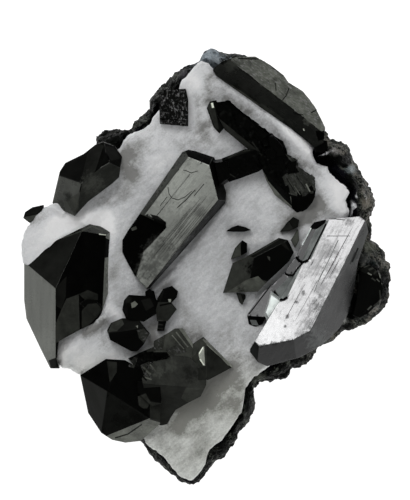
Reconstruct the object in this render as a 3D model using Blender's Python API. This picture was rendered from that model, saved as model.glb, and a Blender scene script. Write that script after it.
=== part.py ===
"""Black neptunite crystals standing in a white natrolite crust, on a plate of dark rock that
lies flat on its back. Origin at the middle of the base, +Z out of the crust, +Y along the
length of the specimen."""
import math

import bmesh
import bpy
import numpy as np
from mathutils import Vector

# Driving dimensions, in millimetres
GAP = 0.3                   # clearance between pieces that touch
ROCK_TOP = 9.0              # level of the rock under the crust
ROCK_WAIST = 5.5            # height at which the rock is widest
ROCK_SKIRT = 0.45           # how far its waist stands out past its outline
CRUST_TOP = 14.6            # usual height of the crust
CRUST_EDGE = 11.4           # height of the crust at its rim
CRUST_ROLL = 3.2            # width over which the crust rolls down to its rim
ROCK_LEDGE = 0.8            # how far the flat on top of the rock reaches past the crust
RIM_LEAST = 1.2             # least width of the rock's rim around that flat
RIM_FULL = 2.8              # rim width at which its swells reach their whole height
SKY = 40.0                  # above everything
SPOKES = 96                 # points around the rock and the crust

# Rings of the lofts, as shares of the outline's reach
ROCK_FOOT = [(0.86, 0.0), (0.95, 2.2), (1.0, ROCK_WAIST)]      # with their heights
RIM_RINGS = [0.82, 0.55, 0.25, 0.0]                            # from the outside to the flat
CRUST_RINGS = [1.0, 0.985, 0.955, 0.92, 0.86, 0.78, 0.69, 0.6, 0.51, 0.42, 0.33, 0.24, 0.15, 0.07]

# Outlines seen from above, as points (x, y)
ROCK_OUTLINE = [
    (-0.8, 34.3), (-0.3, 35.5), (0.8, 36.2), (2.5, 35.7), (5.0, 35.3), (7.2, 34.8), (9.5, 33.0),
    (13.0, 30.3), (15.8, 27.7), (17.8, 25.0), (19.3, 22.7), (20.8, 21.3), (22.8, 20.7), (24.0, 19.7),
    (24.7, 18.0), (25.5, 16.3), (26.7, 14.3), (27.7, 12.7), (28.2, 10.0), (27.5, 8.0), (28.0, 5.8),
    (27.5, 4.3), (28.5, 3.8), (29.8, 2.7), (30.3, 0.7), (30.5, -2.0), (30.8, -4.8), (30.5, -6.5),
    (29.7, -7.7), (27.8, -9.3), (25.8, -10.3), (23.8, -10.8), (21.7, -12.0), (18.8, -13.5),
    (17.7, -15.5), (15.8, -16.7), (14.2, -17.2), (13.3, -18.3), (11.3, -19.3), (9.2, -19.5),
    (8.0, -20.3), (8.2, -22.7), (7.7, -24.5), (6.8, -26.5), (5.5, -27.3), (5.3, -29.0), (4.2, -30.0),
    (3.3, -32.0), (1.7, -32.8), (0.0, -34.8), (-1.0, -36.2), (-2.5, -36.2), (-4.2, -35.7),
    (-5.5, -34.8), (-6.7, -33.7), (-8.3, -32.3), (-9.5, -30.7), (-10.7, -29.2), (-12.8, -27.3),
    (-15.5, -26.0), (-17.3, -24.0), (-18.5, -21.7), (-19.5, -19.7), (-21.0, -17.3), (-22.8, -16.2),
    (-24.5, -15.7), (-26.2, -13.2), (-27.8, -9.3), (-28.3, -5.7), (-28.5, -1.5), (-29.0, 0.7),
    (-29.5, 2.3), (-29.5, 3.8), (-29.0, 5.5), (-28.5, 6.8), (-28.3, 8.0), (-27.5, 9.0), (-25.8, 9.7),
    (-23.8, 11.0), (-22.5, 14.3), (-21.2, 16.3), (-19.2, 18.0), (-17.8, 19.3), (-18.2, 20.5),
    (-18.2, 21.5), (-17.3, 22.2), (-15.0, 22.5), (-12.5, 22.8), (-11.5, 23.8), (-10.0, 25.2),
    (-8.8, 26.3), (-9.2, 27.3), (-8.8, 28.5), (-7.5, 29.5), (-6.3, 30.2), (-5.8, 31.2), (-4.2, 32.7),
    (-2.8, 33.3)]
CRUST_OUTLINE = [
    (-0.7, 34.2), (0.5, 34.0), (1.5, 32.8), (5.2, 31.0), (9.5, 28.0), (14.2, 24.7), (17.2, 22.0),
    (18.2, 20.0), (18.0, 18.5), (18.8, 17.2), (20.5, 16.7), (20.8, 15.7), (22.5, 14.0), (23.7, 13.2),
    (24.0, 12.3), (23.5, 11.0), (24.0, 9.3), (24.0, 8.3), (23.3, 6.3), (21.8, 1.7), (18.8, -4.0),
    (15.2, -10.3), (12.8, -14.0), (11.5, -16.2), (9.8, -17.5), (7.8, -19.0), (6.8, -20.3), (6.5, -22.3),
    (6.2, -24.3), (5.2, -25.7), (4.7, -26.5), (3.8, -27.8), (2.8, -29.3), (1.7, -30.0), (0.8, -30.7),
    (0.3, -31.7), (0.2, -32.8), (-0.5, -34.0), (-1.3, -35.2), (-2.3, -36.0), (-4.2, -35.2),
    (-5.5, -33.7), (-6.7, -32.2), (-8.0, -31.0), (-9.7, -29.8), (-11.5, -27.0), (-14.5, -24.7),
    (-17.0, -22.3), (-18.5, -20.3), (-20.0, -18.7), (-21.2, -18.0), (-22.5, -17.2), (-23.8, -17.0),
    (-25.0, -15.3), (-26.5, -12.0), (-27.7, -8.3), (-28.0, -5.0), (-28.2, -2.0), (-29.2, -0.3),
    (-30.3, 0.3), (-30.8, 1.8), (-30.8, 3.5), (-30.3, 5.2), (-29.7, 6.5), (-29.0, 7.7), (-28.2, 9.0),
    (-26.8, 9.8), (-25.5, 10.3), (-23.2, 12.0), (-20.5, 14.7), (-18.0, 17.0), (-15.8, 18.5),
    (-14.2, 19.7), (-13.7, 20.8), (-13.0, 21.8), (-11.7, 22.5), (-10.0, 23.2), (-9.3, 23.7),
    (-8.7, 24.5), (-8.2, 25.5), (-7.2, 26.5), (-5.8, 27.8), (-4.5, 29.0), (-4.3, 30.2), (-4.0, 31.0),
    (-3.0, 31.8), (-2.2, 33.0), (-1.3, 33.8)]

# Swells and hollows of the crust and the rock's rim: (x, y, rise, spread)
CRUST_SWELLS = [
    (7.5, 25.7, 1.3, 3.3), (14.5, 20.7, 1.6, 3.0), (20.5, 13.3, 1.0, 3.7), (-0.3, 29.7, 1.0, 3.0),
    (-10.8, 20.7, 1.2, 3.3), (-27.2, 5.0, 0.9, 4.0), (-20.2, -14.0, 0.9, 3.7), (-2.8, 6.7, -0.9, 7.0),
    (5.2, 9.0, 0.4, 3.0), (-14.2, 0.7, 0.4, 3.0), (-0.8, -31.5, -1.8, 6.3), (-22.4, -14.4, 2.0, 1.7)]
ROCK_SWELLS = [
    (27.8, 0.7, 4.2, 2.5), (28.2, -5.7, 3.4, 2.7), (23.3, 17.7, 4.0, 2.5), (26.2, 11.7, 4.2, 2.3),
    (-8.5, 27.7, 4.2, 1.8), (-16.2, 21.3, 3.6, 2.2), (0.8, 35.2, 3.4, 1.8), (5.8, 34.8, 4.0, 2.0),
    (-4.2, 31.7, 2.6, 1.7), (-10.5, 24.0, 2.4, 1.5), (6.8, -25.7, 1.0, 2.7), (15.8, -16.7, 1.2, 2.3),
    (20.8, -11.7, 1.6, 2.3), (10.8, -18.3, 1.4, 1.7), (5.2, -28.7, 1.2, 1.3)]

# Crystals. Each body is an outline (x, y) raised from the level "low" and cut down by its faces.
# A face is one corner, its dip and its bearing, or two corners and its dip, or three corners.
# A corner is (x, y, z), or (x, y) and the name of an earlier face that it lies on.
CRYSTALS = {
    "centre_crystal": {"low": 10.6, "bodies": [
        {"outline": [(-10.7, 9.0), (-3.8, 19.0), (-2.5, 19.5), (2.5, 17.8), (3.7, 14.2), (3.4, 10.5),
                     (-9.2, -3.7), (-9.8, -3.8), (-11.8, -1.5), (-13.0, 0.7), (-13.8, 2.3), (-13.8, 4.3),
                     (-12.8, 6.0)],
         "faces": {"a": ((2.2, 11.0, 18.5), 14, 150), "t": ((-2.8, 18.2, "a"), (0.7, 16.8, "a"), 60),
                   "r": ((0.7, 16.8, "a"), (2.2, 11.0, "a"), 68),
                   "s": ((2.2, 11.0, "a"), (-9.5, -3.5, "a"), 70),
                   "l": ((-2.8, 18.2, "a"), (-9.2, 9.7, "a"), 55)}}],
        "cuts": [([(-17.5, 5.0), (-10.8, 8.7), (-6.5, 7.3), (-6.5, 6.3), (-10.3, 2.3), (-11.5, -1.7),
                  (-14.2, -1.7), (-17.5, 1.0)], 15.0)]},
    "blade_cluster": {"low": 7.0, "bodies": [
        {"outline": [(16.2, 0.7), (20.2, 7.8), (25.8, 8.3), (26.8, 7.5), (27.2, 5.7), (25.5, 0.7),
                     (24.9, -4.0), (24.0, -7.7), (22.5, -10.3), (20.8, -12.0), (19.2, -13.3),
                     (15.8, -15.2), (10.3, -16.7), (8.8, -16.0), (7.5, -14.3), (7.5, -13.8)],
         "faces": {"a": ((17.5, -10.7, 21.5), 17, 110), "s": ((26.7, 7.5, "a"), (17.5, -10.7, "a"), 56),
                   "t": ((9.0, -13.3, "a"), (14.7, -12.2, "a"), 50),
                   "u": ((14.7, -12.2, "a"), (17.5, -10.7, "a"), 52),
                   "v": ((8.3, -12.5, "a"), (9.0, -13.3, "a"), 62)}},
        {"outline": [(15.3, 1.5), (17.7, 6.7), (18.2, 7.3), (20.3, 7.8), (22.2, 6.8), (18.8, 0.7),
                     (16.5, 0.7), (15.8, 0.8)],
         "faces": {"a": ((15.8, 1.0, 17.0), 9, 115)}},
        {"outline": [(13.5, -1.0), (13.8, -1.5), (14.8, -1.5), (17.2, 0.7), (17.8, 4.3), (16.3, 4.3),
                     (15.3, 1.7), (13.8, -0.3)],
         "faces": {"a": ((14.2, -1.0, 16.7), 9, 115)}},
        {"outline": [(11.0, -3.8), (11.7, -4.7), (12.5, -5.7), (13.0, -5.7), (16.8, 0.7), (15.8, 1.3),
                     (14.7, 0.3), (11.2, -3.3)],
         "faces": {"a": ((12.7, -5.2, 16.5), 9, 115)}},
        {"outline": [(7.0, -8.2), (7.3, -7.7), (9.7, -4.3), (11.0, -3.2), (14.2, -1.5), (11.7, -4.7),
                     (10.5, -6.7), (10.2, -8.5), (9.6, -9.7), (8.4, -10.2), (7.3, -9.7)],
         "faces": {"a": ((7.5, -7.8, 16.0), 9, 118), "e": ((7.3, -8.3, "a"), (10.2, -8.5, "a"), 42)}}]},
    "left_crystal": {"low": 7.0, "bodies": [
        {"outline": [(-30.2, 0.7), (-24.7, 4.3), (-18.8, 7.2), (-16.0, 6.0), (-15.5, 4.8), (-16.0, -4.0),
                     (-17.3, -8.0), (-18.5, -9.5), (-21.0, -10.7), (-24.3, -12.5), (-24.6, -15.3),
                     (-24.2, -17.0), (-25.7, -17.0), (-27.5, -13.5), (-29.8, -8.8), (-30.2, -5.7)],
         "faces": {"p": ((-24.8, -3.7, 20.5), 50, 180), "q": ((-24.8, -3.7, 20.5), 30, 0),
                   "r": ((-24.7, -3.5, "q"), (-30.2, 0.7, "p"), (-20.5, 5.8, "q")),
                   "t": ((-20.5, 5.8, "q"), (-15.8, 5.0, "q"), 55),
                   "n": ((-16.7, 1.5, "q"), (-17.0, -5.3, "q"), 60), "x": ((-30.2, -4.0, 12.5), 130, 180)}},
        {"outline": [(-20.8, -6.2), (-19.8, -5.5), (-18.2, -5.7), (-17.2, -6.7), (-17.3, -8.0),
                     (-18.5, -9.7), (-20.7, -10.8)],
         "faces": {"a": ((-19.2, -7.3, 17.4), 25, -60)}}]},
    "upper_left_crystal": {"low": 7.5, "bodies": [
        {"outline": [(-25.5, 10.5), (-24.2, 15.8), (-23.3, 17.2), (-20.2, 18.7), (-18.3, 20.2),
                     (-17.0, 20.7), (-15.0, 20.0), (-13.8, 18.2), (-14.3, 14.8), (-15.5, 13.7),
                     (-19.5, 10.7), (-21.7, 8.3), (-23.8, 9.3)],
         "faces": {"a": ((-20.5, 13.8, 20.0), (-14.0, 17.7, 18.8), (-19.5, 10.7, 17.6)),
                   "b": ((-20.5, 13.8, "a"), (-21.7, 8.3, "a"), (-24.2, 15.7, 16.6)),
                   "c": ((-20.5, 13.8, "a"), (-24.2, 15.7, "b"), (-19.5, 19.2, 16.8)),
                   "d": ((-20.5, 13.8, "a"), (-18.5, 15.7, "a"), (-19.5, 19.2, "c")),
                   "e": ((-18.5, 15.7, "a"), (-15.8, 17.2, "a"), (-16.8, 19.5, "d")),
                   "f": ((-15.8, 17.2, "a"), (-16.8, 19.5, "e"), (-14.2, 19.8, 14.5)),
                   "x": ((-23.5, 16.7, 13.0), 128, 135)}}]},
    "upper_right_crystal": {"low": 7.0, "bodies": [
        {"outline": [(1.3, 32.7), (2.8, 34.0), (5.2, 34.8), (8.4, 34.9), (10.9, 33.5), (13.1, 31.8),
                     (13.9, 30.6), (16.2, 29.2), (17.4, 27.8), (18.4, 26.3), (19.3, 24.5), (20.0, 23.0),
                     (19.7, 20.5), (18.3, 19.7), (14.3, 22.9), (9.7, 26.1), (1.8, 31.7)],
         "faces": {"d": ((11.7, 28.3, 20.0), 38, 232), "g": ((11.7, 28.3, 20.0), 48, 52),
                   "x": ((14.8, 30.3, 15.0), 125, 52)}},
        {"outline": [(17.7, 20.8), (18.8, 21.3), (20.3, 20.8), (20.5, 19.7), (19.8, 19.0), (18.5, 19.0)],
         "faces": {"a": ((18.8, 20.2, 17.3), 12, 250)}}]},
    "diagonal_cluster": {"low": 10.6, "bodies": [
        {"outline": [(0.3, 26.3), (0.8, 27.4), (1.8, 27.6), (2.7, 26.3), (3.2, 23.0), (2.4, 22.1),
                     (1.4, 23.2)],
         "faces": {"a": ((2.0, 25.2, 17.6), 42, 195), "b": ((2.0, 25.2, 17.6), 30, 10)}},
        {"outline": [(1.8, 27.2), (3.8, 27.5), (10.5, 22.3), (13.0, 20.8), (13.7, 19.0), (13.5, 17.7),
                     (10.8, 17.0), (7.5, 19.2), (3.3, 22.7), (2.0, 25.2)],
         "faces": {"a": ((7.5, 22.7, 18.8), 7, 330), "s": ((4.0, 23.2, "a"), (8.5, 19.5, "a"), 60),
                   "n": ((4.3, 26.7, "a"), (10.0, 22.2, "a"), 58)}},
        {"outline": [(8.8, 18.3), (13.5, 18.7), (15.2, 17.8), (15.5, 16.5), (17.4, 15.3), (18.2, 14.7),
                     (18.4, 12.7), (18.3, 11.5), (17.9, 10.6), (17.0, 9.5), (15.6, 8.7), (11.7, 11.8),
                     (10.2, 14.3)],
         "faces": {"a": ((14.2, 14.3, 18.3), 8, 320), "s": ((10.7, 14.8, "a"), (14.3, 11.5, "a"), 58),
                   "e": ((14.3, 11.5, "a"), (16.8, 12.0, "a"), 50),
                   "n": ((15.0, 16.5, "a"), (17.8, 13.0, "a"), 40)}},
        {"outline": [(2.8, 17.9), (4.0, 18.4), (6.7, 19.5), (9.5, 19.3), (10.5, 16.7), (8.8, 15.7),
                     (5.8, 14.6), (4.0, 14.0)],
         "faces": {"a": ((5.8, 16.8, 17.8), 6, 250), "n": ((3.5, 17.7, "a"), (6.8, 18.8, "a"), 45),
                   "s": ((3.2, 14.4, "a"), (7.5, 15.7, "a"), 50)}}]},
    "middle_right_crystal": {"low": 10.6, "bodies": [
        {"outline": [(3.0, -4.5), (4.6, 0.5), (6.8, 1.5), (12.3, 4.7), (13.8, 4.3), (14.8, 2.3),
                     (14.0, 0.8), (10.2, -2.8), (8.8, -4.3)],
         "faces": {"a": ((7.5, -2.0, 18.2), 8, 350), "l": ((7.5, -2.0, "a"), (8.2, 2.0, "a"), 42),
                   "b": ((7.5, -2.0, "a"), (10.3, -2.5, "a"), 36),
                   "n": ((8.7, 1.7, "a"), (12.8, 3.8, "a"), 50)}}]},
    "lower_middle_cluster": {"low": 10.6, "bodies": [
        {"outline": [(-13.8, -7.3), (-13.5, -5.7), (-12.7, -4.8), (-9.7, -5.0), (-7.7, -5.8),
                     (-7.7, -7.7), (-10.2, -9.3), (-13.2, -8.7)],
         "faces": {"a": ((-10.8, -6.7, 17.2), 8, 330), "w": ((-13.0, -5.3, "a"), (-12.8, -8.3, "a"), 60)}},
        {"outline": [(-10.0, -4.3), (-9.3, -3.8), (-8.5, -4.2), (-8.1, -5.8), (-9.8, -6.2)],
         "faces": {"a": ((-9.2, -4.8, 16.3), 10, 340)}},
        {"outline": [(-8.0, -5.5), (-7.0, -3.8), (-5.5, -3.3), (-4.5, -4.2), (-4.7, -5.2), (-5.7, -6.3),
                     (-7.5, -6.7)],
         "faces": {"a": ((-6.2, -4.7, 17.3), 10, 330), "w": ((-6.7, -3.7, "a"), (-7.3, -5.8, "a"), 50)}},
        {"outline": [(-8.2, -7.3), (-7.8, -6.0), (-5.7, -6.0), (-4.7, -7.2), (-6.2, -9.2), (-8.0, -9.2)],
         "faces": {"a": ((-6.8, -7.0, 17.0), 22, -60)}},
        {"outline": [(-8.0, -10.8), (-7.7, -8.3), (-6.3, -8.7), (-6.8, -10.8)],
         "faces": {"a": ((-7.2, -9.8, 15.9), 10, -90)}},
        {"outline": [(-16.3, -10.7), (-15.7, -9.5), (-13.8, -8.7), (-11.3, -8.7), (-9.2, -11.2),
                     (-10.3, -13.2), (-11.3, -14.2), (-12.3, -14.2), (-15.8, -12.3)],
         "faces": {"a": ((-13.3, -10.8, 17.9), 20, -75), "u": ((-13.3, -10.8, 17.9), 32, 95)}}]},
    "bottom_cluster": {"low": 7.0, "bodies": [
        {"outline": [(-20.8, -18.2), (-16.5, -15.5), (-13.3, -15.7), (-10.0, -17.7), (-7.5, -22.3),
                     (-7.5, -26.3), (-10.7, -29.2), (-13.3, -29.5), (-15.5, -29.0), (-17.3, -27.8),
                     (-19.5, -24.5)],
         "faces": {"c": ((-16.2, -20.8, 20.0), (-9.2, -25.3, 19.0), (-17.0, -27.8, 16.0)),
                   "d": ((-16.2, -20.8, 20.0), (-9.2, -25.3, 19.0), (-13.3, -16.5, 18.2)),
                   "b": ((-16.2, -20.8, "c"), (-17.3, -27.8, "c"), (-20.8, -18.2, 16.0)),
                   "a": ((-16.2, -20.8, "c"), (-20.8, -18.2, "b"), (-15.8, -15.8, 17.4)),
                   "f": ((-14.5, -27.5, "c"), (-9.2, -25.3, "c"), 52),
                   "x": ((-19.8, -22.3, 12.5), 128, 195), "y": ((-15.8, -29.0, 11.5), 125, 250)}},
        {"outline": [(-11.2, -19.2), (-7.5, -19.2), (-7.2, -22.8), (-8.8, -23.3), (-11.2, -21.0)],
         "faces": {"a": ((-9.2, -21.0, 19.4), 4, 60)}},
        {"outline": [(-12.8, -15.4), (-10.8, -14.4), (-8.4, -13.4), (-7.6, -15.8), (-8.6, -18.4),
                     (-10.6, -18.2)],
         "faces": {"a": ((-9.8, -15.8, 17.2), 12, 150)}},
        {"outline": [(-10.5, -18.7), (-9.2, -16.3), (-5.8, -14.8), (-2.5, -15.2), (0.2, -17.7),
                     (0.2, -19.8), (-0.7, -21.7), (-3.2, -23.0), (-4.9, -24.0), (-5.7, -25.3),
                     (-6.3, -26.4), (-7.5, -26.7), (-9.5, -24.0)],
         "faces": {"a": ((-4.2, -20.0, 19.0), 24, 62), "b": ((-4.2, -20.0, 19.0), 40, -83)}},
        {"outline": [(-2.8, -13.5), (-0.3, -11.8), (4.7, -16.8), (0.5, -19.0), (-1.2, -18.3)],
         "faces": {"a": ((0.3, -13.2, 18.0), (0.3, -17.0, 17.6), (4.7, -16.8, 15.4)),
                   "b": ((0.3, -13.2, 18.0), (0.3, -17.0, 17.6), (-1.0, -14.3, 17.2)),
                   "c": ((0.3, -13.2, "a"), (-1.0, -14.3, "b"), (-2.5, -12.8, 15.4)),
                   "d": ((0.3, -13.2, "a"), (4.2, -16.7, "a"), 50)}},
        {"outline": [(-8.5, -12.5), (-5.9, -11.0), (-5.0, -10.4), (-3.7, -10.4), (-1.9, -13.1),
                     (-2.3, -15.7), (-5.5, -16.5), (-8.7, -16.3)],
         "faces": {"a": ((-5.8, -13.2, 16.9), 16, 40), "e": ((-4.4, -10.4, "a"), (-2.3, -13.3, "a"), 40)}}]},
    "rough_block": {"low": 10.6, "bodies": [
        {"outline": [(-7.7, 28.8), (-7.0, 29.3), (-3.2, 29.5), (-2.8, 27.7), (-2.8, 23.3), (-7.5, 23.7)],
         "faces": {"a": ((-5.2, 26.8, 17.6), 4, -90), "s": ((-7.3, 24.5, "a"), (-2.8, 24.2, "a"), 50)}}]},
    "left_edge_crystal": {"low": 7.5, "bodies": [
        {"outline": [(-30.3, 8.0), (-30.0, 9.0), (-28.8, 9.8), (-27.0, 10.2), (-27.2, 8.3), (-29.3, 7.2)],
         "faces": {"a": ((-28.5, 8.8, 15.2), 22, 20), "b": ((-30.2, 8.2, "a"), (-27.3, 8.8, "a"), 40)}}]},
    "rim_crystal": {"low": 6.0, "bodies": [
        {"outline": [(25.5, -1.7), (26.2, -0.2), (27.5, 0.2), (29.2, -1.3), (29.8, -3.8), (29.0, -6.2),
                     (27.2, -8.0), (25.8, -8.7), (24.7, -8.2), (25.3, -5.7)],
         "faces": {"a": ((27.2, -4.0, 13.2), 8, 160), "b": ((26.2, -8.0, "a"), (29.5, -5.3, "a"), 45)}}]},
    "small_crystal_1": {"low": 12.0, "bodies": [
        {"outline": [(3.5, 5.8), (4.5, 6.5), (5.5, 6.8), (6.7, 6.5), (7.7, 6.0), (6.5, 5.7), (4.8, 5.7)],
         "faces": {"a": ((5.5, 6.2, 16.0), 14, 80)}}]},
    "small_crystal_2": {"low": 11.8, "bodies": [
        {"outline": [(4.3, 1.1), (5.0, 3.0), (6.2, 4.3), (7.0, 3.8), (7.0, 2.3), (5.8, 1.6)],
         "faces": {"a": ((6.0, 2.7, 17.0), 42, 190), "b": ((6.0, 2.7, 17.0), 28, 350)}}]},
    "small_crystal_3": {"low": 11.8, "bodies": [
        {"outline": [(12.5, 5.7), (13.7, 7.3), (14.7, 8.2), (15.7, 7.7), (15.5, 6.5), (14.0, 5.8)],
         "faces": {"a": ((14.3, 7.0, 16.6), 20, 200), "b": ((14.3, 7.0, 16.6), 25, 40)}}]},
    "small_crystal_4": {"low": 11.8, "bodies": [
        {"outline": [(14.3, 4.3), (15.5, 6.2), (15.7, 4.3), (15.0, 3.0)],
         "faces": {"a": ((15.2, 4.3, 16.4), 40, 180)}}]},
    "small_crystal_5": {"low": 11.8, "bodies": [
        {"outline": [(5.2, -4.5), (6.7, -4.7), (6.8, -5.3), (6.2, -6.5), (5.7, -6.0)],
         "faces": {"a": ((6.2, -5.2, 16.0), 30, 200), "b": ((6.2, -5.2, 16.0), 30, 20)}}]}
}

# Surfaces: base colour, roughness
SURFACES = {
    "rock": ((0.035, 0.038, 0.033), 0.85),
    "natrolite": ((0.80, 0.80, 0.79), 0.75),
    "neptunite": ((0.010, 0.010, 0.009), 0.15)}


def swell(table, x, y):
    """Rise of a table's swells at a point."""
    return sum(rise * math.exp(-((x - mid_x) ** 2 + (y - mid_y) ** 2) / (2 * spread ** 2))
               for mid_x, mid_y, rise, spread in table)


def reach_of(outline):
    """Distance from the middle to an outline along each spoke."""
    points = np.array(outline)
    ends = np.roll(points, -1, axis=0)
    reaches = []
    for spoke in range(SPOKES):
        turn = 2 * math.pi * spoke / SPOKES
        ray = np.array([math.cos(turn), math.sin(turn)])
        best = 0.0
        for start, end in zip(points, ends):
            side = end - start
            across = ray[0] * side[1] - ray[1] * side[0]
            if abs(across) < 1e-9:
                continue
            far = (start[0] * side[1] - start[1] * side[0]) / across
            along = (start[0] * ray[1] - start[1] * ray[0]) / across
            if -1e-9 <= along <= 1 + 1e-9:
                best = max(best, far)
        reaches.append(best)
    return reaches


def ring_points(reaches, share, height):
    """One ring of a loft: a share of each spoke's reach, at a height given by a function."""
    ring = []
    for spoke, reach in enumerate(reaches):
        turn = 2 * math.pi * spoke / SPOKES
        x, y = reach * share * math.cos(turn), reach * share * math.sin(turn)
        ring.append((x, y, height(x, y, spoke)))
    return ring


def loft(name, rings, bottom, top):
    """A closed solid through rings of points, from the middle of its underside to that of its top."""
    mesh = bmesh.new()
    loops = [[mesh.verts.new(Vector(point) * 0.001) for point in ring] for ring in rings]
    low = mesh.verts.new((0, 0, bottom * 0.001))
    high = mesh.verts.new((0, 0, top * 0.001))
    for spoke in range(SPOKES):
        after = (spoke + 1) % SPOKES
        mesh.faces.new((low, loops[0][after], loops[0][spoke]))
        mesh.faces.new((high, loops[-1][spoke], loops[-1][after]))
        for under, over in zip(loops, loops[1:]):
            mesh.faces.new((under[spoke], under[after], over[after], over[spoke]))
    bmesh.ops.triangulate(mesh, faces=mesh.faces[:])
    bmesh.ops.recalc_face_normals(mesh, faces=mesh.faces[:])
    return add_object(name, mesh, parts)


def add_object(name, mesh, group):
    """An object made from a bmesh, in a collection."""
    data = bpy.data.meshes.new(name)
    mesh.to_mesh(data)
    mesh.free()
    result = bpy.data.objects.new(name, data)
    group.objects.link(result)
    return result


def corner(point, planes):
    """A face's corner, whose height may be that of an earlier face."""
    x, y, height = point
    if isinstance(height, str):
        normal, distance = planes[height]
        height = (distance - normal.x * x - normal.y * y) / normal.z
    return Vector((x, y, height))


def looking(dip, bearing):
    """The outward direction of a face with this dip that looks to this bearing."""
    return Vector((math.sin(dip) * math.cos(bearing), math.sin(dip) * math.sin(bearing), math.cos(dip)))


def face_planes(body):
    """Each face of a body as its outward direction and its distance from the origin."""
    middle = np.mean(body["outline"], axis=0)
    planes = {}
    for name, (first, second, third) in body["faces"].items():
        start = corner(first, planes)
        if not isinstance(second, tuple):
            normal = looking(math.radians(second), math.radians(third))
        elif not isinstance(third, tuple):
            edge = corner(second, planes) - start
            dip, run = math.radians(third), math.hypot(edge.x, edge.y)
            swing = math.acos(max(-1.0, min(1.0, -edge.z / math.tan(dip) / run)))
            choices = [looking(dip, math.atan2(edge.y, edge.x) + turn) for turn in (swing, -swing)]
            normal = min(choices, key=lambda n: n.x * (middle[0] - start.x) + n.y * (middle[1] - start.y))
        else:
            normal = (corner(second, planes) - start).cross(corner(third, planes) - start).normalized()
            normal = normal if normal.z > 0 else -normal
        planes[name] = normal, normal.dot(start)
    return planes


def grown(outline, amount):
    """An outline moved outwards by an amount."""
    points = [Vector(point) for point in outline]
    area = sum(a.x * b.y - a.y * b.x for a, b in zip(points, points[1:] + points[:1]))
    side = 1.0 if area > 0 else -1.0
    result = []
    for before, here, after in zip(points[-1:] + points[:-1], points, points[1:] + points[:1]):
        into, out = (here - before).normalized(), (after - here).normalized()
        into, out = Vector((into.y, -into.x)) * side, Vector((out.y, -out.x)) * side
        middle = (into + out).normalized()
        result.append(here + middle * amount / max(middle.dot(into), 0.5))
    return result


def column(name, outline, low, high, group):
    """An outline raised between two heights."""
    mesh = bmesh.new()
    base = mesh.faces.new([mesh.verts.new((x * 0.001, y * 0.001, low * 0.001)) for x, y in outline])
    raised = bmesh.ops.extrude_face_region(mesh, geom=[base])["geom"]
    lifted = [item for item in raised if isinstance(item, bmesh.types.BMVert)]
    bmesh.ops.translate(mesh, verts=lifted, vec=(0, 0, (high - low) * 0.001))
    bmesh.ops.recalc_face_normals(mesh, faces=mesh.faces[:])
    return add_object(name, mesh, group)


def cut_body(name, body, low, grow, group):
    """One body of a crystal, grown on every side by an amount."""
    solid = column(name, grown(body["outline"], grow), low - grow, SKY, group)
    mesh = bmesh.new()
    mesh.from_mesh(solid.data)
    for normal, distance in face_planes(body).values():
        everything = mesh.verts[:] + mesh.edges[:] + mesh.faces[:]
        bmesh.ops.bisect_plane(mesh, geom=everything, dist=1e-8, clear_outer=True,
                               plane_co=normal * (distance + grow) * 0.001, plane_no=normal)
        bmesh.ops.holes_fill(mesh, edges=[edge for edge in mesh.edges if edge.is_boundary])
    bmesh.ops.remove_doubles(mesh, verts=mesh.verts[:], dist=2e-6)
    bmesh.ops.recalc_face_normals(mesh, faces=mesh.faces[:])
    mesh.to_mesh(solid.data)
    mesh.free()
    return solid


def combine(target, others, operation):
    """Joins other solids to a solid, or cuts them out of it."""
    for other in others:
        step = target.modifiers.new(other.name, "BOOLEAN")
        step.operation = operation
        step.solver = "EXACT"
        step.object = other
        bpy.context.view_layer.update()
        ready = target.evaluated_get(bpy.context.evaluated_depsgraph_get())
        result = bpy.data.meshes.new_from_object(ready)
        target.modifiers.clear()
        target.data = result


def keep_largest(target):
    """Removes loose crumbs that a cut has left."""
    mesh = bmesh.new()
    mesh.from_mesh(target.data)
    waiting, pieces = set(mesh.faces), []
    while waiting:
        piece, front = set(), [waiting.pop()]
        while front:
            face = front.pop()
            piece.add(face)
            for edge in face.edges:
                for other in edge.link_faces:
                    if other in waiting:
                        waiting.remove(other)
                        front.append(other)
        pieces.append(piece)
    pieces.sort(key=lambda piece: sum(face.calc_area() for face in piece))
    crumbs = [face for piece in pieces[:-1] for face in piece]
    bmesh.ops.delete(mesh, geom=crumbs, context="FACES")
    bmesh.ops.triangulate(mesh, faces=mesh.faces[:])
    bmesh.ops.recalc_face_normals(mesh, faces=mesh.faces[:])
    mesh.to_mesh(target.data)
    mesh.free()


def crystal(name, low, bodies, cuts, grow, group):
    """A crystal or a cluster grown together, as one solid."""
    solids = [cut_body(f"{name}_{place}", body, low, grow, group) for place, body in enumerate(bodies)]
    whole = solids[0]
    combine(whole, solids[1:], "UNION")
    if grow == 0.0:
        notches = [column(f"{name}_notch", outline, floor, SKY, group) for outline, floor in cuts]
        combine(whole, notches, "DIFFERENCE")
        solids += notches
    for spare in solids[1:]:
        bpy.data.objects.remove(spare)
    keep_largest(whole)
    whole.name = name
    return whole


def surface(target, kind):
    """Gives a piece its surface."""
    colour, roughness = SURFACES[kind]
    material = bpy.data.materials.new(f"{target.name}_{kind}")
    material.use_nodes = True
    shader = material.node_tree.nodes["Principled BSDF"]
    shader.inputs["Base Color"].default_value = (*colour, 1.0)
    shader.inputs["Roughness"].default_value = roughness
    shader.inputs["Metallic"].default_value = 0.0
    target.data.materials.clear()
    target.data.materials.append(material)


for old in list(bpy.data.objects):
    bpy.data.objects.remove(old)
parts = bpy.data.collections.new("neptunite_on_matrix")
cutters = bpy.data.collections.new("pocket_cutters")
bpy.context.scene.collection.children.link(parts)
bpy.context.scene.collection.children.link(cutters)

rock_reach = [reach + ROCK_SKIRT for reach in reach_of(ROCK_OUTLINE)]
crust_reach = reach_of(CRUST_OUTLINE)
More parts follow.
